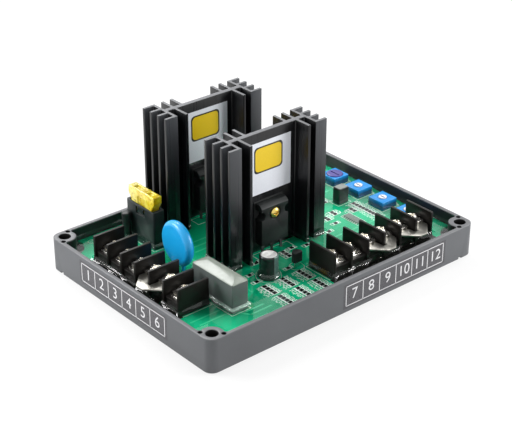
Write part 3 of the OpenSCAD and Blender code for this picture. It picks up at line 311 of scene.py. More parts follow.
def moulded(name, color, roughness, drift, grain, depth, specular=0.5, coat=0.0, tint=None):
    """A plastic with a slow drift and a fine grain; tint is a function that changes its tone by place."""
    tree, shader, place = start_material(name)
    inputs = {"Vector": place, "Color": color, "Drift": drift, "Roughness": roughness, "Grain Scale": grain}
    skin = put(tree, "ShaderNodeGroup", inputs, node_tree=moulded_skin).outputs
    tone = tint(tree, place, skin["Color"]) if tint else skin["Color"]
    feed(tree, shader, {"Base Color": tone, "Roughness": skin["Roughness"],
                        "Specular IOR Level": specular, "Coat Weight": coat})
    bump(tree, shader, skin["Height"], depth)


# %% Moulded plastics
# The numbers: roughness, drift of the tone, grains per metre, their depth in mm, specular level, coat.
moulded("block_plastic", rgba(22, 20, 18), 0.42, 0.4, 1600.0, 0.008, 0.25)
moulded("holder_plastic", rgba(26, 35, 35), 0.4, 0.4, 1500.0, 0.01, 0.3)
moulded("device_epoxy", rgba(28, 32, 32), 0.5, 0.5, 2500.0, 0.02, 0.35)
moulded("chip_epoxy", rgba(100, 104, 100), 0.5, 0.3, 2500.0, 0.01, 0.3)
moulded("resistor_glaze", rgba(9, 10, 10), 0.4, 0.4, 2500.0, 0.01, 0.1)
moulded("film_case_plastic", rgba(94, 102, 100), 0.42, 0.25, 1200.0, 0.012, 0.4)
moulded("varistor_coat", rgba(14, 166, 232), 0.36, 0.15, 260.0, 0.05, 0.5, 0.3)
moulded("choke_sleeve", rgba(32, 35, 35), 0.35, 0.4, 700.0, 0.02, 0.4)
moulded("bung_rubber", rgba(40, 40, 40), 0.7, 0.3, 900.0, 0.02)
moulded("pad_silicone", rgba(40, 42, 42), 0.7, 0.2, 900.0, 0.01)


# %% The box capacitor's painted top highlight
def mixed(tree, factor, first, second):
    """Adds a colour mix and returns its output: first where the factor is 0, second where it is 1."""
    return put(tree, "ShaderNodeMix", {0: factor, 6: first, 7: second}, data_type="RGBA").outputs[2]


def split(tree, vector):
    """The X, Y and Z of a vector as sockets."""
    return put(tree, "ShaderNodeSeparateXYZ", {0: vector}).outputs


BOX_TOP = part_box("box_capacitor")[1].z
TOP_HIGHLIGHT_START, TOP_HIGHLIGHT_FULL = BOX_TOP - 0.3 * MM, BOX_TOP - 0.05 * MM


def painted_top_highlight(tree, place, tone):
    """A painted highlight: a cloudy pale tone on the top, which a ramp on the height mixes in."""
    pale_highlight = mixed(tree, noise(tree, place, 330.0, 3.0), rgba(96, 104, 100), rgba(176, 182, 178))
    return mixed(tree, ramp(tree, split(tree, place)["Z"], TOP_HIGHLIGHT_START, TOP_HIGHLIGHT_FULL), tone, pale_highlight)


# painted highlight: the top face is mixed towards a pale grey
moulded("box_epoxy", rgba(34, 40, 38), 0.34, 0.4, 1500.0, 0.03, 0.3, tint=painted_top_highlight)
print("box capacitor's top at", round(BOX_TOP / MM, 2), "mm")

# %% [markdown]
# ## The tray
# The outside of the tray is satin grey, and a painted highlight makes its upper rim paler. Its bores, the
# pilot holes and the space between the walls get hardly any light in a real tray, so they get painted shade.
# Separate faces could have separate materials, but the solids come as one mesh, so all are masks: the
# distance from a hole's axis, and the place between the walls, read from Object coordinates that are folded
# into one corner.

# %% The tray
CAVITY = np.array([75.5, 55.5])
BOSS, BOSS_R, BORE_R = np.array([72.6, 52.6]), 5.2, 2.7
PILOTS, PILOT_R = ((75.65, 48.9), (68.9, 55.65)), 1.0
MARGIN = 0.05
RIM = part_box("case_tray")[1].z
PAINTED_RIM_FROM = RIM - 0.5 * MM


def in_hole(tree, axes, centre, radius):
    """Mask of the points that are nearer to an upright axis than a radius, all in millimetres."""
    offsets = [maths(tree, "SUBTRACT", axes[axis], at * MM) for axis, at in zip("XY", centre)]
    square = maths(tree, "ADD", *(maths(tree, "MULTIPLY", off, off) for off in offsets))
    return maths(tree, "LESS_THAN", square, ((radius + MARGIN) * MM) ** 2)


def tray_painted_light(tree, place, outside):
    """The tone outside, a painted highlight on the rim, painted shade between the walls and darker in the
    holes.
    """
    axes = split(tree, vector_maths(tree, "ABSOLUTE", place))
    holes = in_hole(tree, axes, BOSS, BORE_R)
    for pilot in PILOTS:
        holes = maths(tree, "MAXIMUM", holes, in_hole(tree, axes, pilot, PILOT_R))
    walls = zip("XY", CAVITY + MARGIN)
    within = [maths(tree, "LESS_THAN", axes[axis], half * MM) for axis, half in walls]
    below = maths(tree, "LESS_THAN", axes["Z"], PAINTED_RIM_FROM)
    inside = maths(tree, "MULTIPLY", maths(tree, "MULTIPLY", *within), below)
    # painted highlight on the upper rim, then painted shade between the walls and in the holes
    tone = mixed(tree, ramp(tree, axes["Z"], PAINTED_RIM_FROM, RIM), outside, rgba(106, 107, 110))
    tone = mixed(tree, inside, tone, rgba(30, 32, 32))
    return mixed(tree, holes, tone, rgba(12, 12, 13))


moulded("tray_plastic", rgba(90, 92, 95), 0.42, 0.3, 1300.0, 0.012, 0.45, tint=tray_painted_light)
print("tray rim at", round(RIM / MM, 2), "mm")

# %% [markdown]
# ## Trimmers
# The blue housings stand partly in the resin: their tops are bright, and painted shade darkens their sides
# just below the top. The rotors' faces are pale or purple, and the floor of the screwdriver slot gets painted
# shade. Light alone would leave both too bright at this size, so a ramp on the height paints the shade in.

# %% Trimmers
HOUSINGS = [f"trimmer_{n}_housing" for n in (1, 2, 3, 4)]
ROTOR_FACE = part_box("trimmer_2_rotor")[1].z / MM
HOUSING_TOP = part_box("trimmer_2_housing")[1].z / MM
SLOT = ROTOR_FACE - 0.25, ROTOR_FACE - 0.45
SIDE = HOUSING_TOP - 0.25, HOUSING_TOP - 2.2


def shaded_below(name, color, low_color, heights, roughness):
    """Painted shade: runs from the colour at the first height, in mm, to a darker one at the second."""
    def tint(tree, place, tone):
        start, end = heights
        return mixed(tree, ramp(tree, split(tree, place)["Z"], start * MM, end * MM), tone, low_color)

    moulded(name, color, roughness, 0.2, 1500.0, 0.006, tint=tint)


# painted shade: the housings' sides and the rotors' slot floors are darkened by height
shaded_below("trimmer_plastic", rgba(20, 144, 222), rgba(12, 58, 104), SIDE, 0.25)
shaded_below("rotor_white", rgba(240, 242, 246), rgba(70, 100, 150), SLOT, 0.35)
shaded_below("rotor_purple", rgba(80, 72, 148), rgba(68, 61, 130), SLOT, 0.3)
print("rotor faces at", round(ROTOR_FACE, 2), "mm, housings to", round(HOUSING_TOP, 2), "mm")

# %% [markdown]
# ## Metals
# The terminals, links and screws are nickel plated and have been handled, so scuffs raise their roughness,
# and on the screws and links they are deep enough to break up the mirror image. The heatsinks are drawn
# aluminium with a black anodised skin: fine lines run up the fins, and the sawn top shows the bare metal.
# The outer teeth get a painted reflection: a paler tone near the top, on the faces towards the front.
# A painted mask would need a UV map, so the place is read from Object coordinates, and the side from the
# normal.

# %% Plated metals
WORN_TONE, WORN_ROUGH = 0.55, 0.3


def plated(name, color, roughness, marks=0.5, scale=500.0, depth=0.01, metallic=1.0):
    """A plated metal: scuffs, so many per metre and so many mm deep, make it rougher and darker."""
    tree, shader, place = start_material(name)
    inputs = {"Vector": place, "Scale": scale, "Amount": marks}
    worn = put(tree, "ShaderNodeGroup", inputs, node_tree=scuffs).outputs[0]
    dark = tuple(WORN_TONE * c for c in color[:3]) + (1,)
    feed(tree, shader, {"Base Color": mixed(tree, worn, color, dark), "Metallic": metallic,
                        "Roughness": maths(tree, "MULTIPLY_ADD", worn, WORN_ROUGH, roughness)})
    bump(tree, shader, worn, depth)


plated("nickel", rgba(248, 245, 238), 0.25)
plated("screw_nickel", rgba(252, 249, 240), 0.2, marks=0.35, scale=900.0, depth=0.12)
plated("link_nickel", rgba(162, 160, 153), 0.34, marks=0.8, scale=700.0, depth=0.05)
plated("tin", rgba(205, 206, 208), 0.35)
# painted shade: the power devices' leads, under their bodies, get a tin made dark
plated("shaded_lead_tin", rgba(70, 72, 72), 0.45)
plated("solder", rgba(244, 246, 244), 0.5, metallic=0.1)
plated("yellow_zinc", rgba(234, 206, 118), 0.22)


# %% The heatsinks' skin
def lines(tree, place, across):
    """Lines from a noise that is stretched: across gives the lines per metre along each axis."""
    return put(tree, "ShaderNodeGroup", {"Vector": place, "Across": across}, node_tree=drawn_lines).outputs


SINK_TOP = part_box("front_heatsink")[1].z
SINK_X, SINK_TEETH = -2.6, 20.5
CUT_SKIN = 0.02 * MM
# The normal's Y limit for faces that look to the front, and the share of the height where the painted
# reflection starts.
FACING_FRONT, SHEEN_FROM = -0.7, 0.25
tree, shader, place = start_material("anodised")
axes = split(tree, place)
die = lines(tree, place, (1500.0, 1500.0, 12.0))
saw = lines(tree, place, (2600.0, 160.0, 1.0))
cut_face = maths(tree, "GREATER_THAN", axes["Z"], SINK_TOP - CUT_SKIN)
forward = maths(tree, "LESS_THAN", split(tree, place.node.outputs["Normal"])["Y"], FACING_FRONT)
off_middle = maths(tree, "ABSOLUTE", maths(tree, "SUBTRACT", axes["X"], SINK_X * MM))
teeth = maths(tree, "MULTIPLY", forward, maths(tree, "GREATER_THAN", off_middle, SINK_TEETH * MM))
sheen_height = maths(tree, "POWER", ramp(tree, axes["Z"], SHEEN_FROM * SINK_TOP, SINK_TOP), 2.0)
black = mixed(tree, die["Line"], rgba(8, 9, 11), rgba(20, 21, 24))
# painted reflection: the outer teeth's front faces turn paler towards the top
black = mixed(tree, maths(tree, "MULTIPLY", teeth, sheen_height), black, rgba(72, 74, 78))
bare = mixed(tree, saw["Line"], rgba(92, 93, 96), rgba(132, 133, 136))
rough = maths(tree, "MULTIPLY_ADD", die["Line"], 0.2, 0.2)
feed(tree, shader, {"Base Color": mixed(tree, cut_face, black, bare),
                    "Roughness": maths(tree, "MULTIPLY_ADD", cut_face, 0.25, rough),
                    "Metallic": maths(tree, "MULTIPLY", cut_face, 0.3), "Specular IOR Level": 0.42})
bump(tree, shader, die["Height"], 0.02)
print("sawn top at", round(SINK_TOP / MM, 2), "mm")

# %% The electrolytic capacitor's can
tree, shader, place = start_material("can_metal")
lathe = lines(tree, place, (900.0, 900.0, 900.0))
feed(tree, shader, {"Base Color": mixed(tree, lathe["Line"], rgba(214, 214, 214), rgba(246, 246, 246)),
                    "Metallic": 0.6, "Roughness": 0.45})
bump(tree, shader, lathe["Height"], 0.01)

# %% [markdown]
# ## Board and resin
# The board's green lacquer lies over woven glass. It hardly shines, because the resin on it bends light as
# much as the lacquer does. The resin could be a volume that swallows light, but it is shallow, so glass
# with a faint tint is enough. It lets shadow rays through, since a refracting surface would keep the lamps'
# light off the board. Round the film capacitor's foot, a pale finish paints the reflection of the resin's
# rim, and it fades in with height.

# %% The board
tree, shader, place = start_material("board_lacquer")
inputs = {"Vector": place, "Color": rgba(2, 176, 128), "Drift": 0.3, "Roughness": 0.45}
skin = put(tree, "ShaderNodeGroup", inputs, node_tree=moulded_skin).outputs
inputs = {"Vector": place, "Scale": 700.0, "Distortion": 1.5, "Detail": 1.0}
weave = put(tree, "ShaderNodeTexWave", inputs).outputs[1]
thread = maths(tree, "MULTIPLY", weave, 0.12)
feed(tree, shader, {"Base Color": mixed(tree, thread, skin["Color"], rgba(3, 146, 102)),
                    "Roughness": skin["Roughness"], "Specular IOR Level": 0.08})
bump(tree, shader, weave, 0.01)

# %% The clear resin and the painted rim reflection
RESIN_TINT = (0.93, 1.0, 0.97, 1)
RESIN_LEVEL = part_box("potting_resin")[1].z
RIM_SHEEN_START, RIM_SHEEN_FULL = RESIN_LEVEL + 0.04 * MM, RESIN_LEVEL + 0.3 * MM

tree, shader, place = start_material("clear_resin")
feed(tree, shader, {"Base Color": RESIN_TINT, "Transmission Weight": 1.0, "IOR": 1.5, "Roughness": 0.02})
bump(tree, shader, noise(tree, place, 120.0, 2.0), 0.03)
open_way = put(tree, "ShaderNodeBsdfTransparent", {"Color": RESIN_TINT}).outputs[0]
shadow_ray = put(tree, "ShaderNodeLightPath").outputs["Is Shadow Ray"]
passing = put(tree, "ShaderNodeMixShader", {0: shadow_ray, 1: shader.outputs[0], 2: open_way}).outputs[0]
feed(tree, tree.nodes["Material Output"], {"Surface": passing})

# painted reflection: a pale, half-clear finish for the light that the resin's rim mirrors round the film
# capacitor
tree, shader, place = start_material("painted_rim_reflection")
rim_sheen_noise = noise(tree, place, 900.0, 4.0)
rim_sheen_rise = ramp(tree, split(tree, place)["Z"], RIM_SHEEN_START, RIM_SHEEN_FULL)
rim_sheen_cover = maths(tree, "MULTIPLY", rim_sheen_rise, maths(tree, "MULTIPLY_ADD", rim_sheen_noise, 0.7, 0.25))
feed(tree, shader, {"Base Color": mixed(tree, rim_sheen_noise, rgba(140, 172, 158), rgba(232, 242, 236)),
                    "Alpha": rim_sheen_cover, "Roughness": 0.2})
bump(tree, shader, rim_sheen_noise, 0.08)
print("resin level at", round(RESIN_LEVEL / MM, 2), "mm")

# %% [markdown]
# ## Fuse, sleeve and filling
# The fuse is a slightly translucent yellow, cloudy with dark specks, with painted light making its rear end
# paler. The electrolytic capacitor's sleeve has a grey stripe on one side. It could be a second piece, but
# the angle round the can's axis marks it too. The film capacitor's filling is pale, glossy and a bit lumpy.

# %% The fuse
fuse_low, fuse_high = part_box("fuse_body")
tree, shader, place = start_material("fuse_plastic")
cloud = noise(tree, place, 420.0, 3.0)
tone = ramp(tree, cloud, 0.35, 0.65)
specks = ramp(tree, noise(tree, place, 1500.0, 2.0), 0.6, 0.68)
# painted light: the fuse turns paler towards its rear end, at high Y
painted_light_end = ramp(tree, split(tree, place)["Y"], fuse_low.y, fuse_high.y, 0.75)
deep = mixed(tree, tone, rgba(226, 186, 0), rgba(252, 234, 50))
pale = mixed(tree, tone, rgba(240, 222, 70), rgba(255, 252, 170))
body = mixed(tree, painted_light_end, deep, pale)
feed(tree, shader, {"Base Color": mixed(tree, specks, body, rgba(176, 132, 14)), "Roughness": 0.15,
                    "Transmission Weight": 0.1, "Coat Weight": 0.3})
bump(tree, shader, cloud, 0.2)

# %% The electrolytic capacitor's sleeve
STRIPE_AT, STRIPE_HALF = math.radians(-65), math.radians(32)
can_low, can_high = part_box("electrolytic_sleeve")
can_middle = (can_low + can_high) / 2
tree, shader, place = start_material("sleeve_film")
axes = split(tree, vector_maths(tree, "SUBTRACT", place, can_middle))
angle = maths(tree, "ARCTAN2", axes["Y"], axes["X"])
off_stripe = maths(tree, "ABSOLUTE", maths(tree, "SUBTRACT", angle, STRIPE_AT))
stripe = maths(tree, "LESS_THAN", off_stripe, STRIPE_HALF)
grain = noise(tree, place, 900.0, 3.0)
pale = mixed(tree, grain, rgba(48, 74, 70), rgba(92, 120, 114))
dark = mixed(tree, grain, rgba(10, 14, 15), rgba(24, 28, 29))
feed(tree, shader, {"Base Color": mixed(tree, stripe, dark, pale), "Roughness": 0.22})
bump(tree, shader, grain, 0.01)
print("can's axis at", [round(v / MM, 2) for v in can_middle.xy], "mm")

# %% The film capacitor's filling
tree, shader, place = start_material("fill_resin")
lumps = noise(tree, place, 260.0, 5.0)
feed(tree, shader, {"Base Color": mixed(tree, lumps, rgba(126, 134, 125), rgba(160, 168, 158)),
                    "Roughness": 0.24, "Specular IOR Level": 0.42})
bump(tree, shader, lumps, 0.05)

# %% [markdown]
# ## Print, foil and paper
# Print and paper are thin layers whose fibres change the tone and the gloss a little. An image could carry
# them, but flat pieces with a finish of their own stay sharp.

# %% Print, foil and paper
DULL_TONE, GLOSS_SPREAD = 0.86, 0.2


def printed(name, color, roughness=0.5):
    """A thin layer of print or paper: fine fibres change its tone and its gloss."""
    tree, shader, place = start_material(name)
    fibre = noise(tree, place, 1800.0, 4.0)
    dull = tuple(DULL_TONE * c for c in color[:3]) + (1,)
    rough = maths(tree, "MULTIPLY_ADD", fibre, GLOSS_SPREAD, roughness - GLOSS_SPREAD / 2)
    feed(tree, shader, {"Base Color": mixed(tree, fibre, dull, color), "Roughness": rough})
    bump(tree, shader, fibre, 0.005)


printed("white_print", rgba(236, 246, 240))
printed("label_print", rgba(226, 226, 228))
printed("label_foil", rgba(78, 77, 81), 0.3)
printed("sticker_paper", rgba(240, 242, 250), 0.35)
printed("sticker_yellow", rgba(244, 206, 16), 0.35)
printed("sticker_dark", rgba(34, 32, 30), 0.4)
printed("track_green", rgba(26, 200, 146), 0.4)

# %% [markdown]
# ## Dress the solids
# A moulded or stamped edge is never razor sharp: its small radius catches the light. The solids come as
# loose triangles, so two modifiers do it without touching them: weld joins the triangles, and a bevel
# rounds what is sharper than 30 degrees. Loop slide is off, because a bevel that slid along the odd edges
# inside a flat face would be uneven. Thin or already rounded pieces get no bevel: their sharp edges are
# split instead, so that smooth shading doesn't run round a corner.

# %% How a solid is dressed
JOIN = 0.002
SHARP = math.radians(30)


def dress(names, finish, radius=0.0, segments=2):
    """Gives CAD nodes a finish and rounds their edges by a radius in millimetres."""
    for name in names.split():
        node = nodes[name]
        node.data.materials.clear()
        node.data.materials.append(finishes[finish])
        node.data.shade_smooth()
        weld = node.modifiers.new("joined_triangles", "WELD")
        weld.merge_threshold = JOIN * MM
        if radius:
            edge = node.modifiers.new("rounded_edges", "BEVEL")
            edge.width = radius * MM
            edge.segments = segments
            edge.limit_method = "ANGLE"
            edge.angle_limit = SHARP
            edge.use_clamp_overlap = False
            edge.loop_slide = False
            edge.harden_normals = True
        else:
            crisp = node.modifiers.new("crisp_edges", "EDGE_SPLIT")
            crisp.split_angle = SHARP


# %% Dress the solids
dress("case_tray", "tray_plastic", 0.35, 3)
dress("circuit_board", "board_lacquer", 0.05, 1)
dress("left_terminal_block right_terminal_block", "block_plastic", 0.12)
dress("left_terminal_plates right_terminal_plates left_clamp_plates right_clamp_plates", "nickel", 0.08)
dress("left_terminal_screws right_terminal_screws", "screw_nickel", 0.08)
dress("left_link right_inner_link right_outer_link", "link_nickel", 0.1)
dress("front_heatsink rear_heatsink", "anodised", 0.08)
dress("front_power_device rear_power_device", "device_epoxy", 0.15)
dress("front_device_screw rear_device_screw", "yellow_zinc", 0.06)
dress("front_insulating_pad rear_insulating_pad", "pad_silicone")
dress("front_sticker rear_sticker", "sticker_paper")
dress("fuse_holder", "holder_plastic", 0.2)
dress("fuse_body", "fuse_plastic", 0.3, 3)
dress("varistor", "varistor_coat")
dress("film_capacitor_case", "film_case_plastic", 0.25, 3)
dress("film_capacitor_fill", "fill_resin")
dress("electrolytic_can", "can_metal", 0.1)
dress("electrolytic_sleeve", "sleeve_film", 0.08)
dress("electrolytic_bung", "bung_rubber")
dress("box_capacitor", "box_epoxy", 0.7, 4)
dress("choke_coil", "choke_sleeve", 0.3, 3)
dress(" ".join(HOUSINGS), "trimmer_plastic", 0.2)
dress("trimmer_1_rotor", "rotor_purple", 0.1)
dress("trimmer_2_rotor trimmer_3_rotor trimmer_4_rotor", "rotor_white", 0.1)
dress("small_transistor", "device_epoxy", 0.08)
dress("chip_resistors", "resistor_glaze", 0.05)
dress("ic_body", "chip_epoxy", 0.15)
dress("chip_end_caps ic_legs", "solder")
dress("fuse_contacts fuse_blades heatsink_pins", "tin")
dress("front_device_leads rear_device_leads", "shaded_lead_tin")
dress("varistor_leads film_capacitor_leads electrolytic_leads box_capacitor_leads choke_leads", "tin")
dress("trimmer_pins small_transistor_leads", "tin")
print("dressed", sum(len(o.data.materials) > 0 for o in nodes.values()), "nodes")

# %% [markdown]
# ## The resin's skin
# Poured resin wets what stands in it and climbs a little way up, and that curved rim is what glints. It
# could be sculpted, but a height field over the whole tray follows the parts by itself: the flat level,
# plus a rise that falls off exponentially with the distance to the nearest part. It never wets evenly, so
# slow waves change the rise. On the tray's own walls it climbs less, and least at the right. The sheet is
# then closed down to the board, as a real body of resin. Its sides lie inside the walls and the parts,
# because a sliver of air between them would mirror the board.


# %% Mesh helpers
def new_piece(name, points, faces, finish, slot, smooth=True):
    """Makes an object of points in millimetres and faces, which rides on the regulator."""
    mesh = bpy.data.meshes.new(name)
    mesh.from_pydata((np.asarray(points, float) * MM).tolist(), [], list(map(list, faces)))
    mesh.materials.append(finishes[finish])
    if smooth:
        mesh.shade_smooth()
    piece = bpy.data.objects.new(name, mesh)
    scene.collection.objects.link(piece)
    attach(piece, "regulator")
    print(name, len(mesh.vertices), "points", len(mesh.polygons), "faces")
    return piece


def grid_faces(rows, columns, keep):
    """The quads of a grid of points that are numbered row by row; keep is a mask of the quads to use."""
    number = np.arange(rows * columns).reshape(rows, columns)
    quads = np.stack([number[:-1, :-1], number[:-1, 1:], number[1:, 1:], number[1:, :-1]], axis=-1)
    return quads[keep]


def box_mm(name):
    """The lowest and highest corner of a node in millimetres."""
    low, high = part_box(name)
    return np.array(low) / MM, np.array(high) / MM


# %% Distances in the tray
STEP, GRID_START, GRID_STOP = 0.45, 0.2, 0.6
# The heatsink's section in mm from the web's middle. The uprights are given as x, first y and last y.
SINK_WEBS, WEB_HALF, FIN_HALF = (-4.4, 39.7), 1.2, 0.7
BAR_X, TEETH_END, TEETH = 21.8, 27.6, (-7.95, -2.65, 2.65, 7.95)
UPRIGHTS = ((16.6, -9.5, 8.65), (11.7, 0, 8.65), (BAR_X, -8.65, 8.65))


def to_rectangle(x, y, low, high):
    """Distance to a rectangle: the length of the outward offsets, or the nearest side's depth inside it."""
    dx = np.abs(x - (low[0] + high[0]) / 2) - (high[0] - low[0]) / 2
    dy = np.abs(y - (low[1] + high[1]) / 2) - (high[1] - low[1]) / 2
    return np.hypot(np.maximum(dx, 0), np.maximum(dy, 0)) + np.minimum(np.maximum(dx, dy), 0)


def to_round(x, y, low, high):
    """Distance to an upright cylinder: the distance from its box's middle, less half the box's width."""
    return np.hypot(x - (low[0] + high[0]) / 2, y - (low[1] + high[1]) / 2) - (high[0] - low[0]) / 2


def sink_bars(web_y):
    """The heatsink's section as rectangles: web, cross fins, rear fins, end bars and their teeth."""
    bars = [(-BAR_X, -WEB_HALF, BAR_X, WEB_HALF)]
    for side in (-1, 1):
        for place, low, high in UPRIGHTS:
            bars.append((side * place - FIN_HALF, low, side * place + FIN_HALF, high))
        inner, outer = sorted((side * BAR_X, side * TEETH_END))
        bars += [(inner, tooth - FIN_HALF, outer, tooth + FIN_HALF) for tooth in TEETH]
    return np.array(bars) + [SINK_X, web_y, SINK_X, web_y]


def nearest(*gaps):
    """The least of several distances, point by point."""
    return np.min(gaps, axis=0)


def to_parts(x, y, shape, *names):
    """Distance to the nearest of several nodes, each seen from above as a shape that fills its box."""
    return nearest(*(shape(x, y, *box_mm(name)) for name in names))


x, y = np.meshgrid(*(np.arange(-half - GRID_START, half + GRID_STOP, STEP) for half in CAVITY))
wall = -to_rectangle(x, y, -CAVITY, CAVITY)
bosses = np.hypot(np.abs(x) - BOSS[0], np.abs(y) - BOSS[1]) - BOSS_R
blocks = to_parts(x, y, to_rectangle, "left_terminal_block", "right_terminal_block")
square_parts = to_parts(x, y, to_rectangle, "fuse_holder", "film_capacitor_case")
round_parts = to_parts(x, y, to_round, "electrolytic_sleeve", "choke_coil")
low_parts = to_parts(x, y, to_rectangle, "box_capacitor", *HOUSINGS)
bars = [bar for web_y in SINK_WEBS for bar in sink_bars(web_y)]
sinks = nearest(*(to_rectangle(x, y, bar[:2], bar[2:]) for bar in bars))
print("resin grid", x.shape)

# %% The resin's skin
# In mm: the rise at a part, the distance over which it fades, and the ripple.
CLIMB, REACH, RIPPLE = 1.5, 1.0, 0.035
# The share of the rise at low parts and at the tray's walls, and how much more in the far left corner.
LOW_SHARE, WALL_SHARE, CORNER_SHARE = 0.25, 0.15, 0.5
# In mm: how far the sheet runs into a part, and further into a block's recessed front, and into the board.
OVERLAP, FRONT_RECESS, SUNK = 0.5, 1.0, 0.1
RESIN_SHARP = math.radians(60)


def closed_below(piece, foot):
    """Closes an open sheet: its rim runs straight down to a height in mm, and the ring there is filled."""
    body = bmesh.new()
    body.from_mesh(piece.data)
    rim = [edge for edge in body.edges if edge.is_boundary]
    side = bmesh.ops.extrude_edge_only(body, edges=rim)["geom"]
    lower = [part for part in side if isinstance(part, bmesh.types.BMVert)]
    bmesh.ops.scale(body, verts=lower, vec=(1, 1, 0), space=Matrix.Translation((0, 0, -foot * MM)))
    ring = [part for part in side if isinstance(part, bmesh.types.BMEdge) and part.is_boundary]
    bmesh.ops.triangle_fill(body, edges=ring, normal=(0, 0, -1))
    bmesh.ops.recalc_face_normals(body, faces=body.faces)
    body.to_mesh(piece.data)
    body.free()
    piece.data.set_sharp_from_angle(angle=RESIN_SHARP)
    print(piece.name, "closed:", len(piece.data.polygons), "faces")


level = RESIN_LEVEL / MM
BOARD_TOP = box_mm("circuit_board")[1][2]
# Slow waves, 25 to 57 mm long.
ripple = RIPPLE * np.sin(x / 4.1 + 1.3 * np.sin(y / 9.0)) * np.sin(y / 5.3 + 0.7)
wetting = 0.8 + 0.25 * np.sin(x / 4.7 + 0.8 * np.sin(y / 6.1)) * np.sin(y / 5.3 + 0.6 * np.sin(x / 7.1))
far_left = np.interp(x, [-30, 10], [1, 0]) * np.interp(y, [0, 30], [0, 1])
at_wall = WALL_SHARE + CORNER_SHARE * far_left
near = nearest(square_parts, round_parts, blocks, sinks)
wetted = ((1.0, near), (LOW_SHARE, low_parts), (at_wall, wall))
rise = np.max([share * np.exp(-np.maximum(gap, 0) / REACH) for share, gap in wetted], axis=0)
z = level + CLIMB * wetting * rise + ripple
gap = nearest(square_parts, round_parts, blocks + FRONT_RECESS, low_parts, wall, bosses)
kept = (gap[:-1, :-1] + gap[1:, 1:]) / 2 > -OVERLAP
skin = new_piece("resin_skin", np.stack([x, y, z], axis=-1).reshape(-1, 3), grid_faces(*x.shape, kept),
                 "clear_resin", "clear_resin")
closed_below(skin, BOARD_TOP - SUNK)
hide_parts("potting_resin")

# %% [markdown]
# ## The film capacitor's crown
# The box of the film capacitor is filled from above with a pale resin that creeps over the rim and sets in
# a glossy pillow. A bevelled box would have a flat top and even edges, so a stack of rounded outlines is
# joined ring by ring: the first few turn over the rim in a quarter circle, and the others go in and up to a
# ridge that leans to one side. A slow wave keeps its reflection uneven.


# %% Outlines and rings
def rounded_panel(width, height, radius, count=12):
    """Outline of a rounded rectangle: each quarter of a circle is moved to its own corner."""
    turn = np.linspace(0, 2 * np.pi, 4 * count, endpoint=False) + np.pi / (4 * count)
    circle = np.stack([np.cos(turn), np.sin(turn)], axis=1)
    return np.sign(circle) * (np.array([width, height]) / 2 - radius) + radius * circle


def ring_faces(rings, count, closed=False):
    """Quads between rings of points, each joined to the next, and the last to the first where closed."""
    number = np.arange(rings * count).reshape(rings, count)
    number = np.concatenate([number, number[:1]]) if closed else number
    after = np.roll(number, -1, axis=1)
    return np.stack([number[:-1], after[:-1], after[1:], number[1:]], axis=-1).reshape(-1, 4).tolist()


# %% The film capacitor's crown
# In mm: how far it stands out from the case, the radius of its edge, and how far that hangs over the rim.
CROWN_PROUD, CROWN_EDGE, CROWN_DROP = 0.08, 0.45, 0.38
# The ridge's height in mm, the bend of the slope, its lean, and how far in it lies as a share of the width.
CROWN_RISE, CROWN_BEND, CROWN_LEAN, RIDGE = 1.0, 0.18, 0.2, 0.48
# In mm: the radius of the corners at the rim and at the ridge, and the height of the wave.
CROWN_CORNER, RIDGE_CORNER, CROWN_WAVE = 0.7, 0.04, 0.06

low, high = box_mm("film_capacitor_case")
middle = (low[:2] + high[:2]) / 2
size = high[:2] - low[:2] + 2 * CROWN_PROUD
turn = np.linspace(0, 0.5 * np.pi, 6)
run = np.linspace(0, 1, 14)[1:]
inset = np.concatenate([CROWN_EDGE * (1 - np.cos(turn)), CROWN_EDGE + run * (RIDGE * size[0] - CROWN_EDGE)])
slope = CROWN_RISE * (run + CROWN_BEND * (run - run ** 3))
lift = np.concatenate([CROWN_EDGE * np.sin(turn), CROWN_EDGE + slope])
corner = np.maximum(CROWN_CORNER - inset, RIDGE_CORNER)
steps = zip(inset, corner)
rings = np.array([rounded_panel(*(size - 2 * step), radius) for step, radius in steps]) + middle
rings[..., 0] += CROWN_LEAN * inset[:, None]
across, along = np.moveaxis(rings, -1, 0)
wave = CROWN_WAVE * np.sin(along / 2.3) * np.sin(along / 5.1 + across / 1.7) * np.minimum(inset, 1)[:, None]
points = np.dstack([rings, high[2] - CROWN_DROP + lift[:, None] + wave])
count, total = points.shape[1], points.shape[0] * points.shape[1]
ends = [list(range(count))[::-1], list(range(total - count, total))]
crown = new_piece("film_capacitor_crown", points.reshape(-1, 3), ring_faces(len(points), count) + ends,
                  "fill_resin", "fill_pale")
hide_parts("film_capacitor_fill")

# %% [markdown]
# ## The film capacitor's collar
# A pale rim runs round the film capacitor's foot: a painted reflection of the resin's curved rim there. It
# has a finish of its own, so it is no part of the skin. Its section is a hollow curve that falls from the
# wall to the level, carried round the box, and slow waves change how far up it reaches. The painted
# reflection is strongest near the wall and fades out towards the edge, so the border isn't a hard line.

# %% The film capacitor's collar, with a painted reflection
# In mm: how far out and up it reaches, its edge's height, how deep its back is, and how far in the wall.
COLLAR_OUT, COLLAR_UP, COLLAR_EDGE, COLLAR_SUNK, COLLAR_IN = 1.8, 0.9, 0.12, 0.3, 0.1
COLLAR_CORNER, COLLAR_WAVE = 0.3, 0.2

run = np.linspace(0, 1, 10)
out = np.append(COLLAR_OUT * run, -COLLAR_IN)
up = np.append(COLLAR_EDGE + COLLAR_UP * (1 - run) ** 2, -COLLAR_SUNK)
size = high[:2] - low[:2]
rings = np.array([rounded_panel(*(size + 2 * step), COLLAR_CORNER + step) for step in out]) + middle
across, along = np.moveaxis(rings, -1, 0)
wave = COLLAR_WAVE * np.sin(along / 2.9 + across / 2.1) * np.sin(along / 6.7 + 1.0)
# It has its full height in front of y = -40, and 0.6 of it behind y = -34.
reach = np.interp(along, [-40, -34], [1.0, 0.6]) + wave
points = np.dstack([rings, level + up[:, None] * reach])
faces = [face[::-1] for face in ring_faces(*points.shape[:2], closed=True)]
new_piece("film_capacitor_collar", points.reshape(-1, 3), faces, "painted_rim_reflection", "clear_resin")
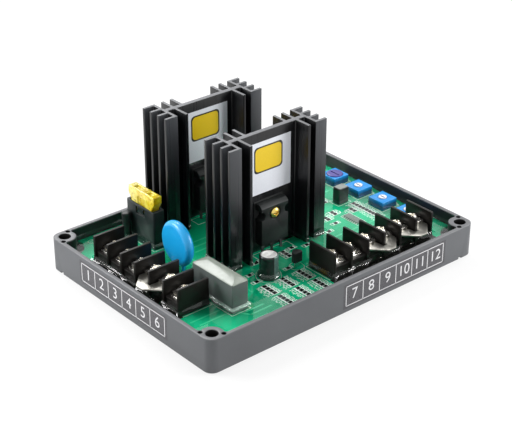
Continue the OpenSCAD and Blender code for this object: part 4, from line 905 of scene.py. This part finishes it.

# %% [markdown]
# ## Print on the board
# White outlines on the board show where each part goes, with short plain ticks beside the chips. Broader
# strokes in a paler green are copper tracks under the lacquer, and a dark strip along each terminal block is
# painted shade. A texture could show it all, but flat ribbons just above the lacquer are part of the model:
# each stroke is a segment with a width, and an outline is four of them.


# %% Strokes
def ribbons(strokes, width, height):
    """Quads along strokes (x0, y0, x1, y1): each end is moved sideways by half the width, both ways."""
    strokes = np.asarray(strokes, float)
    start, end = strokes[:, :2], strokes[:, 2:]
    along = (end - start) / np.linalg.norm(end - start, axis=1, keepdims=True)
    side = np.stack([along[:, 1], -along[:, 0]], axis=1) * width / 2
    start, end = start - along * width / 2, end + along * width / 2
    corners = np.stack([start + side, end + side, end - side, start - side], axis=1).reshape(-1, 2)
    points = np.column_stack([corners, np.full(len(corners), height)])
    return points, np.arange(len(points)).reshape(-1, 4)


def frames(boxes):
    """The four strokes round each box (x0, y0, x1, y1)."""
    x0, y0, x1, y1 = np.asarray(boxes, float).T
    sides = (x0, y0, x1, y0), (x1, y0, x1, y1), (x1, y1, x0, y1), (x0, y1, x0, y0)
    return np.concatenate([np.stack(side, axis=1) for side in sides])


def ring(centre, radius, count=48):
    """Strokes round a circle: each point of it is joined to the next."""
    turn = np.linspace(0, 2 * np.pi, count + 1)
    rim = np.stack([centre[0] + radius * np.cos(turn), centre[1] + radius * np.sin(turn)], axis=1)
    return np.concatenate([rim[:-1], rim[1:]], axis=1)


def around(name, margin):
    """The box (x0, y0, x1, y1) round a node, wider by a margin on each side."""
    low, high = box_mm(name)
    return [low[0] - margin, low[1] - margin, high[0] + margin, high[1] + margin]


# %% Outlines
PRINT_UP, OUTLINE_WIDTH, OUTLINE_MARGIN = 0.04, 0.32, 0.8
OUTLINED = "film_capacitor_case fuse_holder box_capacitor ic_body".split() + HOUSINGS
OUTLINED += ["left_terminal_block", "right_terminal_block"]
DEVICE_BOXES = [[-13, -12.6, 7.8, -6.6], [-13, 31.5, 7.8, 37.5]]
RINGS = ((can_middle.xy / MM, 5.2), ((-3.8, -26.6), 3.4), ((-60, 50.4), 1.6))
# Banks of chips: the place of the first, and how many stand in the row.
CHIP_BANKS = [
    (-26.3, -30.8, 4), (-16.1, -30.8, 4), (-6.1, -30.8, 4), (-26.3, -41, 4), (-16.1, -41, 4),
    (-6.1, -41, 4), (56.6, 0.4, 9), (51.6, -3.2, 2), (36.2, -1.6, 2), (42.4, 0.4, 2),
    (46.8, 12.4, 2), (-0.4, -13.3, 3), (36.4, -8.6, 1), (28.4, -12.4, 1), (5.2, -12.8, 1),
    (12.5, -15.2, 1), (-16, -12.7, 1), (-8, -25.4, 1), (-26.1, -25.5, 1), (-24.9, -19.2, 1)]
CHIP_PITCH, CHIP_HALF = 2.2, np.array([2.6, 1.0])

chips = np.array([(bx, by - k * CHIP_PITCH) for bx, by, count in CHIP_BANKS for k in range(count)])
boxes = [around(name, OUTLINE_MARGIN) for name in OUTLINED]
boxes += np.column_stack([chips - CHIP_HALF, chips + CHIP_HALF]).tolist() + DEVICE_BOXES
strokes = np.concatenate([frames(boxes)] + [ring(*circle) for circle in RINGS])
outlines = ribbons(strokes, OUTLINE_WIDTH, BOARD_TOP + PRINT_UP)
new_piece("board_outlines", *outlines, "white_print", "sticker_white", False)

# %% Ticks
TICKED, TICK_ROWS, TICK_WIDTH = 42, (-0.7, 0.0, 0.7), 0.36
chance = np.random.default_rng(7)


def scattered(dots, side, length, direction):
    """One stroke per dot: it starts at a random distance to the side, and runs a random length."""
    start = dots + np.outer(chance.uniform(*side, len(dots)), (1, 0))
    return np.column_stack([start, start + np.outer(chance.uniform(*length, len(dots)), direction)])


dots = np.repeat(chips[:TICKED], len(TICK_ROWS), axis=0)
dots += np.outer(np.tile(TICK_ROWS, TICKED), (0, 1))
ticks = scattered(dots, side=(-4.6, -3.3), length=(0.2, 0.9), direction=(1, 0))
marks = scattered(dots, side=(3.0, 3.6), length=(0.1, 0.5), direction=(0, 1))
strokes = ribbons(np.concatenate([ticks, marks]), TICK_WIDTH, BOARD_TOP + PRINT_UP)
new_piece("board_ticks", *strokes, "white_print", "sticker_white", False)

# %% Painted shade strips and tracks
# painted shade: black strips on the board along each terminal block's foot
SHADE_STRIP_WIDTH, SHADE_STRIP_OUT, SHADE_STRIP_UP = 3.8, 2.4, 0.06
TRACK_WIDTH, TRACK_UP = 0.9, 0.02
TRACKS = [
    (-68, -33, -52, -33), (-52, -33, -46, -41), (-46, -41, -36, -41), (-66, -37, -50, -37),
    (-50, -37, -45, -44), (-45, -44, -34, -44), (-60, -48, -30, -48), (-38, 22, -38, 2),
    (-35, 22, -35, -4), (-35, -4, -31, -8), (28, -18, 62, -18), (30, -21, 58, -21), (30, 18, 58, 18),
    (32, 22, 56, 22), (32, 27, 57, 27), (28, 34, 66, 34), (30, 40, 66, 40), (-30, 12, 26, 12),
    (-30, 16, 26, 16), (-28, 20, 24, 20), (-33, -30, -33, -22)]

left_low, left_high = box_mm("left_terminal_block")
right_low, right_high = box_mm("right_terminal_block")
strip_in, trim = SHADE_STRIP_WIDTH / 2 - SHADE_STRIP_OUT, (SHADE_STRIP_WIDTH - SHADE_STRIP_OUT) / 2
strip_x, strip_y = left_low[0] + strip_in, right_low[1] + strip_in
shade_strips = [(strip_x, left_low[1] + trim, strip_x, left_high[1] - trim),
         (right_low[0] + trim, strip_y, right_high[0] - trim, strip_y)]
shade_strips = ribbons(shade_strips, SHADE_STRIP_WIDTH, BOARD_TOP + SHADE_STRIP_UP)
tracks = ribbons(TRACKS, TRACK_WIDTH, BOARD_TOP + TRACK_UP)
new_piece("painted_block_shade", *shade_strips, "block_plastic", "block_black", False)
new_piece("board_tracks", *tracks, "track_green", "board_green", False)

# %% [markdown]
# ## Numbers on the tray
# Below each terminal row, the tray carries a foil with a printed frame of six cells, and plain numbers from
# 1 to 12 in them. Digits could be drawn with ribbons, but Blender's own font has better ones: a text is
# turned into a mesh, and its points are laid on the wall, so the object stays at the origin.

# %% Places on the walls
tray_low = box_mm("case_tray")[0]


def on_left_wall(points, out):
    """Lays flat points (across, up) on the -X face, so far out of it: across runs towards -Y."""
    across, up = np.asarray(points, float).T
    return np.column_stack([np.full(len(up), tray_low[0] - out), -across, up])


def on_front_wall(points, out):
    """The same on the -Y face, where across runs towards +X."""
    across, up = np.asarray(points, float).T
    return np.column_stack([across, np.full(len(up), tray_low[1] - out), up])


def digits(text, size):
    """A number's outline as a flat mesh: points in millimetres about its middle, and faces."""
    curve = bpy.data.curves.new("digits", "FONT")
    curve.body = text
    curve.size = size
    curve.align_x = "CENTER"
    curve.align_y = "CENTER"
    holder = bpy.data.objects.new("digits", curve)
    mesh = bpy.data.meshes.new_from_object(holder)
    points = np.empty(len(mesh.vertices) * 3)
    mesh.vertices.foreach_get("co", points)
    faces = [list(p.vertices) for p in mesh.polygons]
    bpy.data.objects.remove(holder)
    bpy.data.meshes.remove(mesh)
    return points.reshape(-1, 3), faces


# %% Numbers on the tray
CELLS, CELL, FRAME_WIDTH, DIGIT_SIZE = 6, 10.0, 0.42, 7.4
FOIL_SIDE, FOIL_END = 1.6, 1.2
FOIL_OUT, INK_OUT = 0.03, 0.06


def terminal_label(name, place, first, left, bottom, top):
    """A foil with six framed cells from left, and the numbers from first in them."""
    right = left + CELLS * CELL
    x0, x1, z0, z1 = left - FOIL_SIDE, right + FOIL_SIDE, bottom - FOIL_END, top + FOIL_END
    foil = [(x0, z0), (x1, z0), (x1, z1), (x0, z1)]
    sheet = place(foil, FOIL_OUT)
    new_piece(f"{name}_foil", sheet, [[0, 1, 2, 3]], "label_foil", "tray_plastic", False)
    bars = [[left + k * CELL, bottom, left + k * CELL, top] for k in range(1, CELLS)]
    flat, quads = ribbons(np.concatenate([frames([[left, bottom, right, top]]), bars]), FRAME_WIDTH, 0)
    points, faces, used = [flat[:, :2]], quads.tolist(), len(flat)
    for k in range(CELLS):
        outline, parts = digits(str(first + k), DIGIT_SIZE)
        points.append(outline[:, :2] + [left + (k + 0.5) * CELL, (bottom + top) / 2])
        faces += [[corner + used for corner in part] for part in parts]
        used += len(outline)
    ink = place(np.concatenate(points), INK_OUT)
    new_piece(f"{name}_print", ink, faces, "label_print", "sticker_white", False)


terminal_label("left_label", on_left_wall, first=1, left=-32.4, bottom=4.1, top=13.0)
terminal_label("front_label", on_front_wall, first=7, left=-3.2, bottom=3.1, top=12.7)

# %% [markdown]
# ## Panels on the stickers
# Each white sticker on the heatsinks has a plain yellow panel with rounded corners and a dark edge. A
# texture would do, but the crown's rounded rectangle is at hand and can be laid upright.

# %% Panels on the stickers
PANEL_DROP, PANEL_CORNER = 8.5, 2.0
PANELS = (("edge", (16.4, 12.6), 0.03, "sticker_dark"), ("panel", (15.0, 11.2), 0.05, "sticker_yellow"))

for name in ("front", "rear"):
    low, high = box_mm(f"{name}_sticker")
    middle = np.array([(low[0] + high[0]) / 2, high[2] - PANEL_DROP])
    for part, size, out, finish in PANELS:
        rim = rounded_panel(*size, PANEL_CORNER) + middle
        points = np.column_stack([rim[:, 0], np.full(len(rim), low[1] - out), rim[:, 1]])
        new_piece(f"{name}_sticker_{part}", points, [list(range(len(rim)))], finish, "sticker_white", False)

# %% [markdown]
# ## Sizes
# The last line prints the size of the box that the shown pieces fill, in millimetres.

# %% Sizes
low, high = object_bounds()
print("visual box", [round(v / MM, 1) for v in high - low], "mm")
